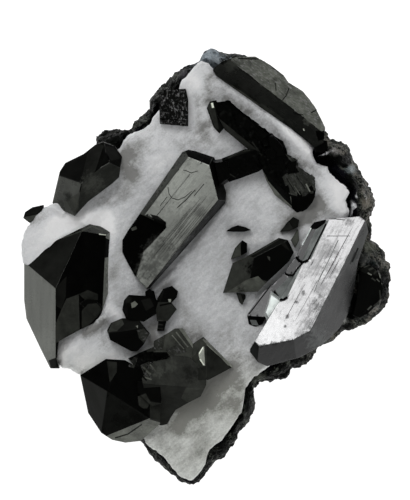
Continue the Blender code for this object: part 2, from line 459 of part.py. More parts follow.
# The flat on top of the rock ends just past the crust, or inside the rock's own rim
flat_reach = [min(crust + ROCK_LEDGE, rock - RIM_LEAST) for crust, rock in zip(crust_reach, rock_reach)]


def level(height):
    """The same height everywhere."""
    return lambda x, y, spoke: height


def rock_height(share):
    """Height of the rim between the flat, at 0, and the outside of the rock, at 1."""
    def height(x, y, spoke):
        width = rock_reach[spoke] - crust_reach[spoke]
        room = max(0.0, min(1.0, (width - RIM_LEAST) / (RIM_FULL - RIM_LEAST)))
        rise = swell(ROCK_SWELLS, x, y) * room * min(1.0, 4 * share) * (1 - share ** 6)
        return ROCK_TOP - (ROCK_TOP - ROCK_WAIST) * share ** 1.6 + rise
    return height


def rim_ring(share):
    """A ring of the rock's rim, a share of the way from the flat to the outside."""
    reaches = [flat + (rock - flat) * share for flat, rock in zip(flat_reach, rock_reach)]
    return ring_points(reaches, 1.0, rock_height(share))


def crust_height(x, y, spoke):
    """Height of the crust's top, rolled down towards its rim."""
    into = min(1.0, (crust_reach[spoke] - math.hypot(x, y)) / CRUST_ROLL)
    full = CRUST_TOP + swell(CRUST_SWELLS, x, y)
    return CRUST_EDGE + (full - CRUST_EDGE) * math.sqrt(max(0.0, 1 - (1 - into) ** 2))


# Rock: a flat back, a waist, a rough rim and a flat that the crust lies on
rings = [ring_points(rock_reach, share, level(height)) for share, height in ROCK_FOOT]
rings += [rim_ring(share) for share in RIM_RINGS]
rock = loft("matrix_rock", rings, 0.0, ROCK_TOP)

# Crust: flat below, its top rolled down at the rim
rings = [ring_points(crust_reach, 1.0, level(ROCK_TOP + GAP))]
rings += [ring_points(crust_reach, share, crust_height) for share in CRUST_RINGS]
crust = loft("natrolite_crust", rings, ROCK_TOP + GAP, crust_height(0.0, 0.0, 0))

# Crystals, and the pockets that they sit in
for name, made in CRYSTALS.items():
    bodies, cuts = made["bodies"], made.get("cuts", [])
    grown_crystal = crystal(name, made["low"], bodies, cuts, 0.0, parts)
    surface(grown_crystal, "neptunite")
    crystal(f"{name}_pocket", made["low"], bodies, [], GAP, cutters)
for target in (crust, rock):
    combine(target, list(cutters.objects), "DIFFERENCE")
    keep_largest(target)
surface(rock, "rock")
surface(crust, "natrolite")
for cutter in cutters.objects:
    cutter.hide_render = True
    cutter.display_type = "WIRE"
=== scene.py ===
# Neptunite on matrix: black crystals in a white natrolite crust on dark rock, lying on its back.
# Lengths are in millimetres until a mesh is made. +Z is out of the crust, +Y along the specimen.
import math

import bmesh
import bpy
import numpy as np
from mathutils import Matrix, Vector, noise
from mathutils.bvhtree import BVHTree


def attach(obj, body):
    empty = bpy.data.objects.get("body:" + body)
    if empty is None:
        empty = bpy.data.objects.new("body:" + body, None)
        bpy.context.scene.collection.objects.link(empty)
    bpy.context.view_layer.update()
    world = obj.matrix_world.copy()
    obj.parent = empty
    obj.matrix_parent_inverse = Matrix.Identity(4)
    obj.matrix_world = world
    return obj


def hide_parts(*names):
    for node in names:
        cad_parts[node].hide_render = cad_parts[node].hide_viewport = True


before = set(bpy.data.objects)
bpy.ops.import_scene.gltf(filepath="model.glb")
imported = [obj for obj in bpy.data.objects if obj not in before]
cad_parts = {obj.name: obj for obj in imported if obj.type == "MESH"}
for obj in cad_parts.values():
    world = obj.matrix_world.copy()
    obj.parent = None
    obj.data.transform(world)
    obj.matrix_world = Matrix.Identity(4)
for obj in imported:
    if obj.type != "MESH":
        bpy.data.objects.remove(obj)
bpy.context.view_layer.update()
mm = 0.001
# Places on the crystals are given as in the photo: to the right and down, six to a millimetre
photo = {"middle": (205, 266), "perMm": 6}
print("frame loaded:", len(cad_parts), "nodes")


def onPhoto(right, down, height=0.0):
    x, y = (right - photo["middle"][0]) / photo["perMm"], (photo["middle"][1] - down) / photo["perMm"]
    return Vector((x * mm, y * mm, height * mm))


# Node trees

def addNode(tree, kind, values=None, **settings):
    made = tree.nodes.new(kind)
    for name, value in settings.items():
        setattr(made, name, value)
    for name, value in (values or {}).items():
        made.inputs[name].default_value = value
    return made


def addMath(tree, operation, first, second=None, clamp=False):
    made = addNode(tree, "ShaderNodeMath", operation=operation, use_clamp=clamp)
    for place, value in enumerate((first, second)):
        if isinstance(value, bpy.types.NodeSocket):
            tree.links.new(value, made.inputs[place])
        elif value is not None:
            made.inputs[place].default_value = value
    return made.outputs[0]


def addRange(tree, value, low, high, outLow=0.0, outHigh=1.0):
    made = addNode(tree, "ShaderNodeMapRange", {"From Min": low, "From Max": high, "To Min": outLow, "To Max": outHigh})
    tree.links.new(value, made.inputs["Value"])
    return made.outputs["Result"]


def addNoise(tree, where, scale, detail=3.0, rough=0.5, distortion=0.0):
    made = addNode(tree, "ShaderNodeTexNoise",
                   {"Scale": scale, "Detail": detail, "Roughness": rough, "Distortion": distortion})
    tree.links.new(where, made.inputs["Vector"])
    return made.outputs[0]


def addMix(tree, share, first, second):
    made = addNode(tree, "ShaderNodeMix", data_type="RGBA")
    for place, value in ((0, share), (6, first), (7, second)):
        if isinstance(value, bpy.types.NodeSocket):
            tree.links.new(value, made.inputs[place])
        else:
            made.inputs[place].default_value = value if place == 0 else (*value, 1.0)
    return made.outputs[2]


def newMaterial(name):
    material = bpy.data.materials.new(name)
    material.use_nodes = True
    tree = material.node_tree
    shader = tree.nodes["Principled BSDF"]
    where = addNode(tree, "ShaderNodeTexCoord").outputs["Object"]
    return material, tree, shader, where


def addBump(tree, shader, height, strength, distance):
    made = addNode(tree, "ShaderNodeBump", {"Strength": strength, "Distance": distance * mm})
    tree.links.new(height, made.inputs["Height"])
    tree.links.new(made.outputs["Normal"], shader.inputs["Normal"])
    return made


def spotMask(tree, where, middle, reach, raggedness=0.6):
    # 1 inside a ragged spot of the surface, 0 outside
    away = addNode(tree, "ShaderNodeVectorMath", operation="DISTANCE")
    tree.links.new(where, away.inputs[0])
    away.inputs[1].default_value = [value * mm for value in middle]
    ragged = addNoise(tree, where, 900.0, 3.0)
    shift = addMath(tree, "MULTIPLY_ADD", ragged, raggedness * reach * mm)
    shift.node.inputs[2].default_value = -0.5 * raggedness * reach * mm
    total = addMath(tree, "ADD", away.outputs["Value"], shift)
    return addRange(tree, total, reach * mm, 0.6 * reach * mm)


def flatSpot(tree, where, middle, reach):
    # 1 in the middle of a soft, uneven spot seen from above, 0 outside
    flat = addNode(tree, "ShaderNodeVectorMath", operation="MULTIPLY_ADD")
    tree.links.new(where, flat.inputs[0])
    flat.inputs[1].default_value = (1.0, 1.0, 0.0)
    flat.inputs[2].default_value = (-middle.x, -middle.y, 0.0)
    away = addNode(tree, "ShaderNodeVectorMath", operation="LENGTH")
    tree.links.new(flat.outputs[0], away.inputs[0])
    uneven = addMath(tree, "SUBTRACT", addNoise(tree, where, 1300.0, 4.0, 0.7), 0.5)
    total = addMath(tree, "ADD", away.outputs["Value"], addMath(tree, "MULTIPLY", uneven, 3.0 * reach * mm))
    return addRange(tree, total, 1.1 * reach * mm, 0.2 * reach * mm)


def addBlend(tree, share, first, second):
    made = addNode(tree, "ShaderNodeMix", data_type="FLOAT")
    for place, value in ((0, share), (2, first), (3, second)):
        if isinstance(value, bpy.types.NodeSocket):
            tree.links.new(value, made.inputs[place])
        else:
            made.inputs[place].default_value = value
    return made.outputs[0]


# Geometry node trees

def newGeometryTree(name, sizes):
    tree = bpy.data.node_groups.new(name, "GeometryNodeTree")
    tree.interface.new_socket("Geometry", in_out="INPUT", socket_type="NodeSocketGeometry")
    for label, (kind, value) in sizes.items():
        tree.interface.new_socket(label, in_out="INPUT", socket_type=kind).default_value = value
    tree.interface.new_socket("Material", in_out="INPUT", socket_type="NodeSocketMaterial")
    tree.interface.new_socket("Geometry", in_out="OUTPUT", socket_type="NodeSocketGeometry")
    return tree, tree.nodes.new("NodeGroupInput"), tree.nodes.new("NodeGroupOutput")


def offsetAbove(tree, given, result, place, distance):
    # Moves what is above the lowest level along its normals, then makes it plain mesh with its material
    height = addNode(tree, "ShaderNodeSeparateXYZ")
    tree.links.new(place, height.inputs[0])
    above = addMath(tree, "GREATER_THAN", height.outputs["Z"], given.outputs["Lowest"])
    offset = addNode(tree, "ShaderNodeVectorMath", operation="SCALE")
    tree.links.new(tree.nodes.new("GeometryNodeInputNormal").outputs[0], offset.inputs[0])
    tree.links.new(addMath(tree, "MULTIPLY", distance, above), offset.inputs["Scale"])
    move = tree.nodes.new("GeometryNodeSetPosition")
    tree.links.new(given.outputs["Geometry"], move.inputs["Geometry"])
    tree.links.new(offset.outputs[0], move.inputs["Offset"])
    whole = tree.nodes.new("GeometryNodeRealizeInstances")
    tree.links.new(move.outputs[0], whole.inputs[0])
    paint = tree.nodes.new("GeometryNodeSetMaterial")
    tree.links.new(whole.outputs[0], paint.inputs["Geometry"])
    tree.links.new(given.outputs["Material"], paint.inputs["Material"])
    tree.links.new(paint.outputs[0], result.inputs[0])


def applyTree(piece, tree, values):
    # Runs a geometry tree on a piece and keeps the result as its plain mesh
    step = piece.modifiers.new(tree.name, "NODES")
    step.node_group = tree
    for item in tree.interface.items_tree:
        if item.in_out == "INPUT" and item.name in values:
            step[item.identifier] = values[item.name]
    bakeModifiers(piece)


def bakeModifiers(piece):
    bpy.context.view_layer.update()
    ready = piece.evaluated_get(bpy.context.evaluated_depsgraph_get())
    result = bpy.data.meshes.new_from_object(ready)
    piece.modifiers.clear()
    old = piece.data
    piece.data = result
    result.name = piece.name
    bpy.data.meshes.remove(old)


def addPiece(name, mesh):
    piece = bpy.data.objects.new(name, mesh)
    bpy.context.scene.collection.objects.link(piece)
    return piece


def copyOfNode(name, node):
    # A merged copy of a CAD solid, in millimetre-scale metres, for further work
    mesh = bmesh.new()
    mesh.from_mesh(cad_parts[node].data)
    bmesh.ops.remove_doubles(mesh, verts=mesh.verts[:], dist=1e-6)
    data = bpy.data.meshes.new(name)
    mesh.to_mesh(data)
    mesh.free()
    return addPiece(name, data)


def setSmooth(piece, angle):
    for face in piece.data.polygons:
        face.use_smooth = True
    piece.data.set_sharp_from_angle(angle=math.radians(angle))


def placePiece(piece, slot, *nodes):
    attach(piece, "root")
    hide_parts(*nodes)


# The natrolite crust

crust = {
    "bottom": 9.3, "top": 14.6, "edge": 11.4, "roll": 1.6, "ragged": 0.22, "spokes": 720, "rings": 120,
    "grainHeight": 0.16, "grainSize": 0.5, "lumpHeight": 0.34, "lumpSize": 2.2, "swellHeight": 0.45,
    "swellSize": 7.0,
    # The last grey here is the colour that painted shade mixes into the crust
    "colour": (0.80, 0.81, 0.82), "centreGrey": (0.60, 0.61, 0.62), "paintedShadeGrey": (0.27, 0.27, 0.26),
    "lowTint": (0.97, 0.98, 0.92), "lowStart": -13.0, "lowFull": -21.0, "roughness": 0.62, "fibre": 40,
    "outline": [
        (-0.7, 34.2), (0.5, 34.0), (1.5, 32.8), (5.2, 31.0), (9.5, 28.0), (14.2, 24.7), (17.2, 22.0),
        (18.2, 20.0), (18.0, 18.5), (18.8, 17.2), (20.5, 16.7), (20.8, 15.7), (22.5, 14.0), (23.7, 13.2),
        (24.0, 12.3), (23.5, 11.0), (24.0, 9.3), (24.0, 8.3), (23.3, 6.3), (21.8, 1.7), (18.8, -4.0),
        (15.2, -10.3), (12.8, -14.0), (11.5, -16.2), (9.8, -17.5), (7.8, -19.0), (6.8, -20.3),
        (6.5, -22.3), (6.2, -24.3), (5.2, -25.7), (4.7, -26.5), (3.8, -27.8), (2.8, -29.3),
        (1.7, -30.0), (0.8, -30.7), (0.3, -31.7), (0.2, -32.8), (-0.5, -34.0), (-1.3, -35.2),
        (-2.3, -36.0), (-4.2, -35.2), (-5.5, -33.7), (-6.7, -32.2), (-8.0, -31.0), (-9.7, -29.8),
        (-11.5, -27.0), (-14.5, -24.7), (-17.0, -22.3), (-18.5, -20.3), (-20.0, -18.7),
        (-21.2, -18.0), (-22.5, -17.2), (-23.8, -17.0), (-25.0, -15.3), (-26.5, -12.0),
        (-27.7, -8.3), (-28.0, -5.0), (-28.2, -2.0), (-29.2, -0.3), (-30.3, 0.3), (-30.8, 1.8),
        (-30.8, 3.5), (-30.3, 5.2), (-29.7, 6.5), (-29.0, 7.7), (-28.2, 9.0), (-26.8, 9.8),
        (-25.5, 10.3), (-23.2, 12.0), (-20.5, 14.7), (-18.0, 17.0), (-15.8, 18.5), (-14.2, 19.7),
        (-13.7, 20.8), (-13.0, 21.8), (-11.7, 22.5), (-10.0, 23.2), (-9.3, 23.7), (-8.7, 24.5),
        (-8.2, 25.5), (-7.2, 26.5), (-5.8, 27.8), (-4.5, 29.0), (-4.3, 30.2), (-4.0, 31.0),
        (-3.0, 31.8), (-2.2, 33.0), (-1.3, 33.8)],
    # Ridges: ends on the photo, reach and rise in mm
    "ridges": [
        (222, 82, 254, 101, 1.5, 1.0), (270, 115, 309, 152, 1.6, 1.7), (226, 208, 162, 292, 0.9, 0.6),
        (122, 192, 84, 222, 0.9, 0.5), (60, 354, 74, 336, 2.2, 1.4), (90, 328, 100, 318, 1.6, 1.6),
        (344, 180, 347, 212, 0.9, 0.5), (50, 243, 70, 233, 1.0, 0.4), (70, 233, 92, 225, 1.0, 0.4), (50, 204, 62, 213, 0.6, 0.9),
        (154, 290, 172, 276, 0.7, 0.7), (294, 158, 312, 175, 0.7, 0.7), (312, 207, 303, 222, 0.8, -0.8)],
    # Swells and hollows: x, y, rise, spread
    "swells": [
        (7.5, 25.7, 1.3, 3.3), (14.5, 20.7, 1.6, 3.0), (20.5, 13.3, 1.0, 3.7), (-0.3, 29.7, 1.0, 3.0),
        (-10.8, 20.7, 1.2, 3.3), (-27.2, 5.0, 0.9, 4.0), (-20.2, -14.0, 0.9, 3.7), (-2.8, 6.7, -0.9, 7.0),
        (5.2, 9.0, 0.4, 3.0), (-14.2, 0.7, 0.4, 3.0), (-0.8, -31.5, -1.8, 6.3), (-22.4, -14.4, 0.9, 1.7),
        (-20.3, 8.3, 0.6, 1.6)],
    # Painted shade and painted light on the crust: ends on the photo, reach in mm, how much (above 0 is painted shade,
    # below 0 is painted light, whiter)
    "paintedShadeAndLightStrokes": [
        (207, 84, 211, 104, 1.2, 0.85), (206, 122, 204, 136, 1.3, 0.65), (186, 127, 214, 124, 0.9, 0.3), (204, 110, 206, 116, 0.9, -0.9), (225, 98, 246, 111, 0.9, 0.8),
        (192, 80, 198, 84, 1.2, -1.0), (212, 75, 222, 84, 0.8, 0.5), (196, 98, 202, 112, 1.0, 0.5),
        (190, 95, 192, 125, 0.8, -0.4), (246, 111, 260, 119, 0.9, 0.4), (276, 132, 288, 146, 0.9, 0.6),
        (290, 130, 312, 152, 1.3, -1.4), (296, 157, 304, 165, 0.8, 0.6),
        (190, 145, 205, 140, 1.4, 0.3), (150, 154, 180, 146, 0.8, 0.3), (212, 142, 216, 150, 0.7, 0.3), (165, 136, 186, 146, 1.0, 0.25),
        (318, 202, 307, 211, 1.0, 1.1), (306, 213, 301, 221, 0.9, 1.1), (318, 206, 310, 218, 1.2, 1.2),
        (326, 211, 344, 217, 0.9, 0.5), (310, 165, 322, 178, 0.9, 0.4), (322, 190, 318, 202, 1.0, 0.3),
        (152, 328, 154, 344, 0.9, 1.6), (300, 213, 285, 240, 1.2, 0.5), (295, 216, 268, 248, 1.3, 0.5),
        (234, 362, 215, 392, 1.7, 0.75), (206, 388, 226, 374, 1.3, 1.1), (176, 406, 208, 398, 0.9, 1.2),
        (205, 402, 178, 424, 1.5, 1.0), (222, 380, 214, 404, 1.8, 0.6), (238, 382, 236, 412, 1.6, 0.45),
        (262, 366, 252, 374, 0.9, 0.35), (196, 418, 226, 418, 1.8, 0.1), (160, 440, 222, 440, 2.5, 0.1),
        (150, 436, 178, 424, 1.0, 0.3), (182, 432, 178, 446, 1.4, 0.5), (206, 414, 196, 450, 2.0, 0.3),
        (186, 464, 204, 455, 1.8, 0.3), (162, 444, 170, 454, 1.0, 0.3), (238, 388, 232, 402, 1.2, 0.6),
        (182, 334, 198, 339, 1.1, 0.8), (225, 340, 250, 352, 2.4, 0.4), (204, 332, 214, 340, 1.0, 0.3),
        (126, 156, 130, 172, 1.5, 1.9), (130, 146, 138, 143, 0.9, 0.4), (116, 182, 124, 196, 1.0, 0.4),
        (96, 207, 128, 190, 1.5, 0.3), (96, 211, 108, 204, 0.9, 0.3), (138, 150, 142, 176, 1.3, 0.2),
        (118, 245, 114, 275, 1.1, 0.6), (126, 252, 138, 280, 0.8, 0.6), (103, 322, 104, 345, 1.0, 0.3), (86, 334, 104, 322, 0.9, 0.9),
        (118, 288, 118, 305, 1.0, 0.3), (225, 262, 222, 290, 1.6, 0.3), (184, 300, 192, 325, 1.6, 0.25),
        (180, 292, 184, 312, 1.0, 0.2), (226, 190, 186, 262, 0.8, 0.3), (225, 186, 229, 206, 0.8, 0.6),
        (214, 165, 224, 200, 0.9, 0.3), (280, 205, 290, 215, 1.3, 0.25), (341, 178, 345, 206, 1.6, -1.5),
        (330, 185, 324, 184, 0.9, -0.4), (60, 226, 104, 218, 1.6, -2.0), (112, 228, 114, 246, 0.8, -0.6),
        (64, 340, 84, 364, 1.8, -0.8), (60, 344, 61, 362, 0.9, -1.2), (84, 366, 112, 358, 1.0, -0.6),
        (155, 165, 170, 150, 1.8, -0.4), (40, 250, 60, 215, 2.0, -0.7), (236, 238, 266, 240, 0.9, -0.5),
        (110, 308, 118, 316, 1.0, -0.6), (34, 218, 62, 214, 1.2, 0.6), (160, 288, 168, 283, 0.8, 0.5), (72, 340, 70, 364, 0.9, 0.5),
        (278, 238, 290, 236, 0.6, -1.2), (240, 208, 246, 212, 2.0, -0.15), (206, 285, 212, 300, 2.4, -0.12)]}


def reachOf(outline, spokes):
    # Distance from the middle to the outline along each spoke
    points = np.array(outline)
    ends = np.roll(points, -1, axis=0)
    side = ends - points
    reaches = np.zeros(spokes)
    for spoke in range(spokes):
        turn = 2 * math.pi * spoke / spokes
        ray = np.array([math.cos(turn), math.sin(turn)])
        across = ray[0] * side[:, 1] - ray[1] * side[:, 0]
        across = np.where(np.abs(across) < 1e-9, 1e-9, across)
        far = (points[:, 0] * side[:, 1] - points[:, 1] * side[:, 0]) / across
        along = (points[:, 0] * ray[1] - points[:, 1] * ray[0]) / across
        reaches[spoke] = far[(along >= 0) & (along <= 1)].max()
    return reaches


def swellHeight(swells, x, y):
    total = np.zeros_like(x)
    for midX, midY, rise, spread in swells:
        total += rise * np.exp(-((x - midX) ** 2 + (y - midY) ** 2) / (2 * spread ** 2))
    return total


def strokeSum(strokes, x, y):
    # Sum of soft strokes at some places: each has two ends on the photo, a reach in mm and how much
    total = np.zeros_like(x)
    for right, down, toRight, toDown, reach, much in strokes:
        start, end = onPhoto(right, down) / mm, onPhoto(toRight, toDown) / mm
        run = end - start
        along = np.clip(((x - start.x) * run.x + (y - start.y) * run.y) / run.length_squared, 0, 1)
        away = np.hypot(x - start.x - along * run.x, y - start.y - along * run.y) / reach
        total += much * np.exp(-away ** 2)
    return total


def raggedReach(reaches, turns, much):
    # An outline with small teeth
    teeth = []
    for reach, turn in zip(reaches, turns):
        spot = Vector((reach * math.cos(turn), reach * math.sin(turn), 0))
        teeth.append(noise.noise(spot / 0.9) + 0.6 * noise.noise(spot / 0.4))
    return reaches + much * np.array(teeth)


def loftMesh(name, turns, rings, low, high):
    # A closed skin through rings of reaches and heights, from the middle below to the middle on top
    spokes = len(turns)
    across = np.concatenate([reach for reach, height in rings])
    heights = np.concatenate([height for reach, height in rings])
    around = np.tile(turns, len(rings))
    verts = np.stack([across * np.cos(around), across * np.sin(around), heights], axis=1)
    verts = np.concatenate([verts, [(0, 0, low), (0, 0, high)]]) * mm
    first = np.arange(spokes)
    after = np.roll(first, -1)
    top = (len(rings) - 1) * spokes
    faces = [(len(verts) - 2, b, a) for a, b in zip(first, after)]
    faces += [(len(verts) - 1, top + a, top + b) for a, b in zip(first, after)]
    for start in range(0, top, spokes):
        faces += [(start + a, start + b, start + spokes + b, start + spokes + a) for a, b in zip(first, after)]
    mesh = bpy.data.meshes.new(name)
    mesh.from_pydata(verts.tolist(), [], faces)
    mesh.update()
    return mesh


def crustMesh():
    spokes = crust["spokes"]
    turns = 2 * np.pi * np.arange(spokes) / spokes
    outer = raggedReach(reachOf(crust["outline"], spokes), turns, crust["ragged"])
    rings = [(outer, np.full(spokes, crust["bottom"]))]
    for place in range(crust["rings"]):
        reach = outer * (1 - (place / crust["rings"]) ** 1.15)
        into = np.minimum(1.0, (outer - reach) / crust["roll"])
        x, y = reach * np.cos(turns), reach * np.sin(turns)
        full = crust["top"] + swellHeight(crust["swells"], x, y) + strokeSum(crust["ridges"], x, y)
        rings.append((reach, crust["edge"] + (full - crust["edge"]) * (1 - (1 - into) ** 4) ** 0.25))
    middle = crust["top"] + float(swellHeight(crust["swells"], np.zeros(1), np.zeros(1))[0])
    mesh = loftMesh("natrolite", turns, rings, crust["bottom"], middle)
    places = np.array([vert.co[:2] for vert in mesh.vertices]) / mm
    # Painted shade and painted light on the crust, kept on its points
    paintedShadeAndLight = strokeSum(crust["paintedShadeAndLightStrokes"], places[:, 0], places[:, 1])
    mesh.attributes.new("paintedShadeAndLight", "FLOAT", "POINT").data.foreach_set("value", paintedShadeAndLight)
    return mesh


def sugarTree():
    # Moves a surface out and in along its normals by waves of three sizes
    tree, given, result = newGeometryTree("sugarSurface", {
        "Grain Height": ("NodeSocketFloat", 0.0001), "Grain Size": ("NodeSocketFloat", 0.0005),
        "Lump Height": ("NodeSocketFloat", 0.0002), "Lump Size": ("NodeSocketFloat", 0.002),
        "Swell Height": ("NodeSocketFloat", 0.0003), "Swell Size": ("NodeSocketFloat", 0.007),
        "Lowest": ("NodeSocketFloat", 0.0095)})
    place = tree.nodes.new("GeometryNodeInputPosition").outputs[0]
    total = None
    for kind in ("Grain", "Lump", "Swell"):
        scale = addMath(tree, "DIVIDE", 1.0, given.outputs[f"{kind} Size"])
        wave = addNode(tree, "ShaderNodeTexNoise", {"Detail": 2.0, "Roughness": 0.55})
        tree.links.new(place, wave.inputs["Vector"])
        tree.links.new(scale, wave.inputs["Scale"])
        level = addMath(tree, "SUBTRACT", wave.outputs[0], 0.5)
        level = addMath(tree, "MULTIPLY", level, given.outputs[f"{kind} Height"])
        total = level if total is None else addMath(tree, "ADD", total, level)
    offsetAbove(tree, given, result, place, total)
    return tree


def natroliteMaterial():
    material, tree, shader, where = newMaterial("natrolite")
    # Greyer over a broad spot in the middle of the crust
    centreSpot = spotMask(tree, where, (-3.0, 2.0, 14.0), 19.0, 0.5)
    turn = addNode(tree, "ShaderNodeMapping", vector_type="TEXTURE")
    turn.inputs["Rotation"].default_value = (0.0, 0.0, math.radians(crust["fibre"]))
    turn.inputs["Scale"].default_value = (3.0, 1.0, 1.0)
    tree.links.new(where, turn.inputs["Vector"])
    # Painted shade and painted light from the list of strokes, made uneven by clouds, fibres and grain
    paintedShadeAndLight = addNode(tree, "ShaderNodeAttribute", attribute_name="paintedShadeAndLight").outputs["Fac"]
    cloud = addNoise(tree, where, 260.0, 4.0, 0.65)
    uneven = addRange(tree, cloud, 0.3, 0.7, 0.5, 1.5)
    paintedShadeAndLight = addMath(tree, "MULTIPLY", paintedShadeAndLight, uneven)
    fibres = addNoise(tree, turn.outputs[0], 1500.0, 4.0, 0.7)
    grains = addNoise(tree, where, 3300.0, 3.0, 0.7)
    for level, much in ((cloud, 0.3), (fibres, 0.5), (grains, 0.4)):
        paintedShadeAndLight = addMath(tree, "ADD", paintedShadeAndLight, addRange(tree, level, 0.3, 0.7, -0.5 * much, 0.5 * much))
    tone = addMix(tree, centreSpot, crust["colour"], crust["centreGrey"])
    # Painted shade mixes the crust towards a grey, painted light towards white
    tone = addMix(tree, addRange(tree, paintedShadeAndLight, 0.0, 1.0), tone, crust["paintedShadeGrey"])
    tone = addMix(tree, addRange(tree, paintedShadeAndLight, 0.0, -1.0), tone, (1.0, 1.0, 1.0))
    # Warmer towards the lower end
    parts = addNode(tree, "ShaderNodeSeparateXYZ")
    tree.links.new(where, parts.inputs[0])
    low = addRange(tree, parts.outputs["Y"], crust["lowStart"] * mm, crust["lowFull"] * mm)
    tint = addNode(tree, "ShaderNodeMix", data_type="RGBA", blend_type="MULTIPLY")
    tree.links.new(low, tint.inputs[0])
    tree.links.new(tone, tint.inputs[6])
    tint.inputs[7].default_value = (*crust["lowTint"], 1.0)
    tree.links.new(tint.outputs[2], shader.inputs["Base Color"])
    shader.inputs["Roughness"].default_value = crust["roughness"]
    shader.inputs["IOR"].default_value = 1.48
    shader.inputs["Specular IOR Level"].default_value = 0.3
    fine = addNoise(tree, where, 5200.0, 4.0, 0.7)
    coarse = addNoise(tree, where, 1700.0, 3.0, 0.6)
    height = addMath(tree, "MULTIPLY_ADD", fine, 0.5)
    tree.links.new(coarse, height.node.inputs[2])
    addBump(tree, shader, height, 0.8, 0.26)
    return material


sugar = sugarTree()
natrolite = natroliteMaterial()
crustPiece = addPiece("natrolite", crustMesh())
applyTree(crustPiece, sugar, {
    "Grain Height": crust["grainHeight"] * mm, "Grain Size": crust["grainSize"] * mm,
    "Lump Height": crust["lumpHeight"] * mm, "Lump Size": crust["lumpSize"] * mm,
    "Swell Height": crust["swellHeight"] * mm, "Swell Size": crust["swellSize"] * mm,
    "Lowest": (crust["bottom"] + 0.2) * mm, "Material": natrolite})
setSmooth(crustPiece, 60)
placePiece(crustPiece, "natrolite", "natrolite_crust")
print("crust made:", len(crustPiece.data.polygons), "faces")


# The rock

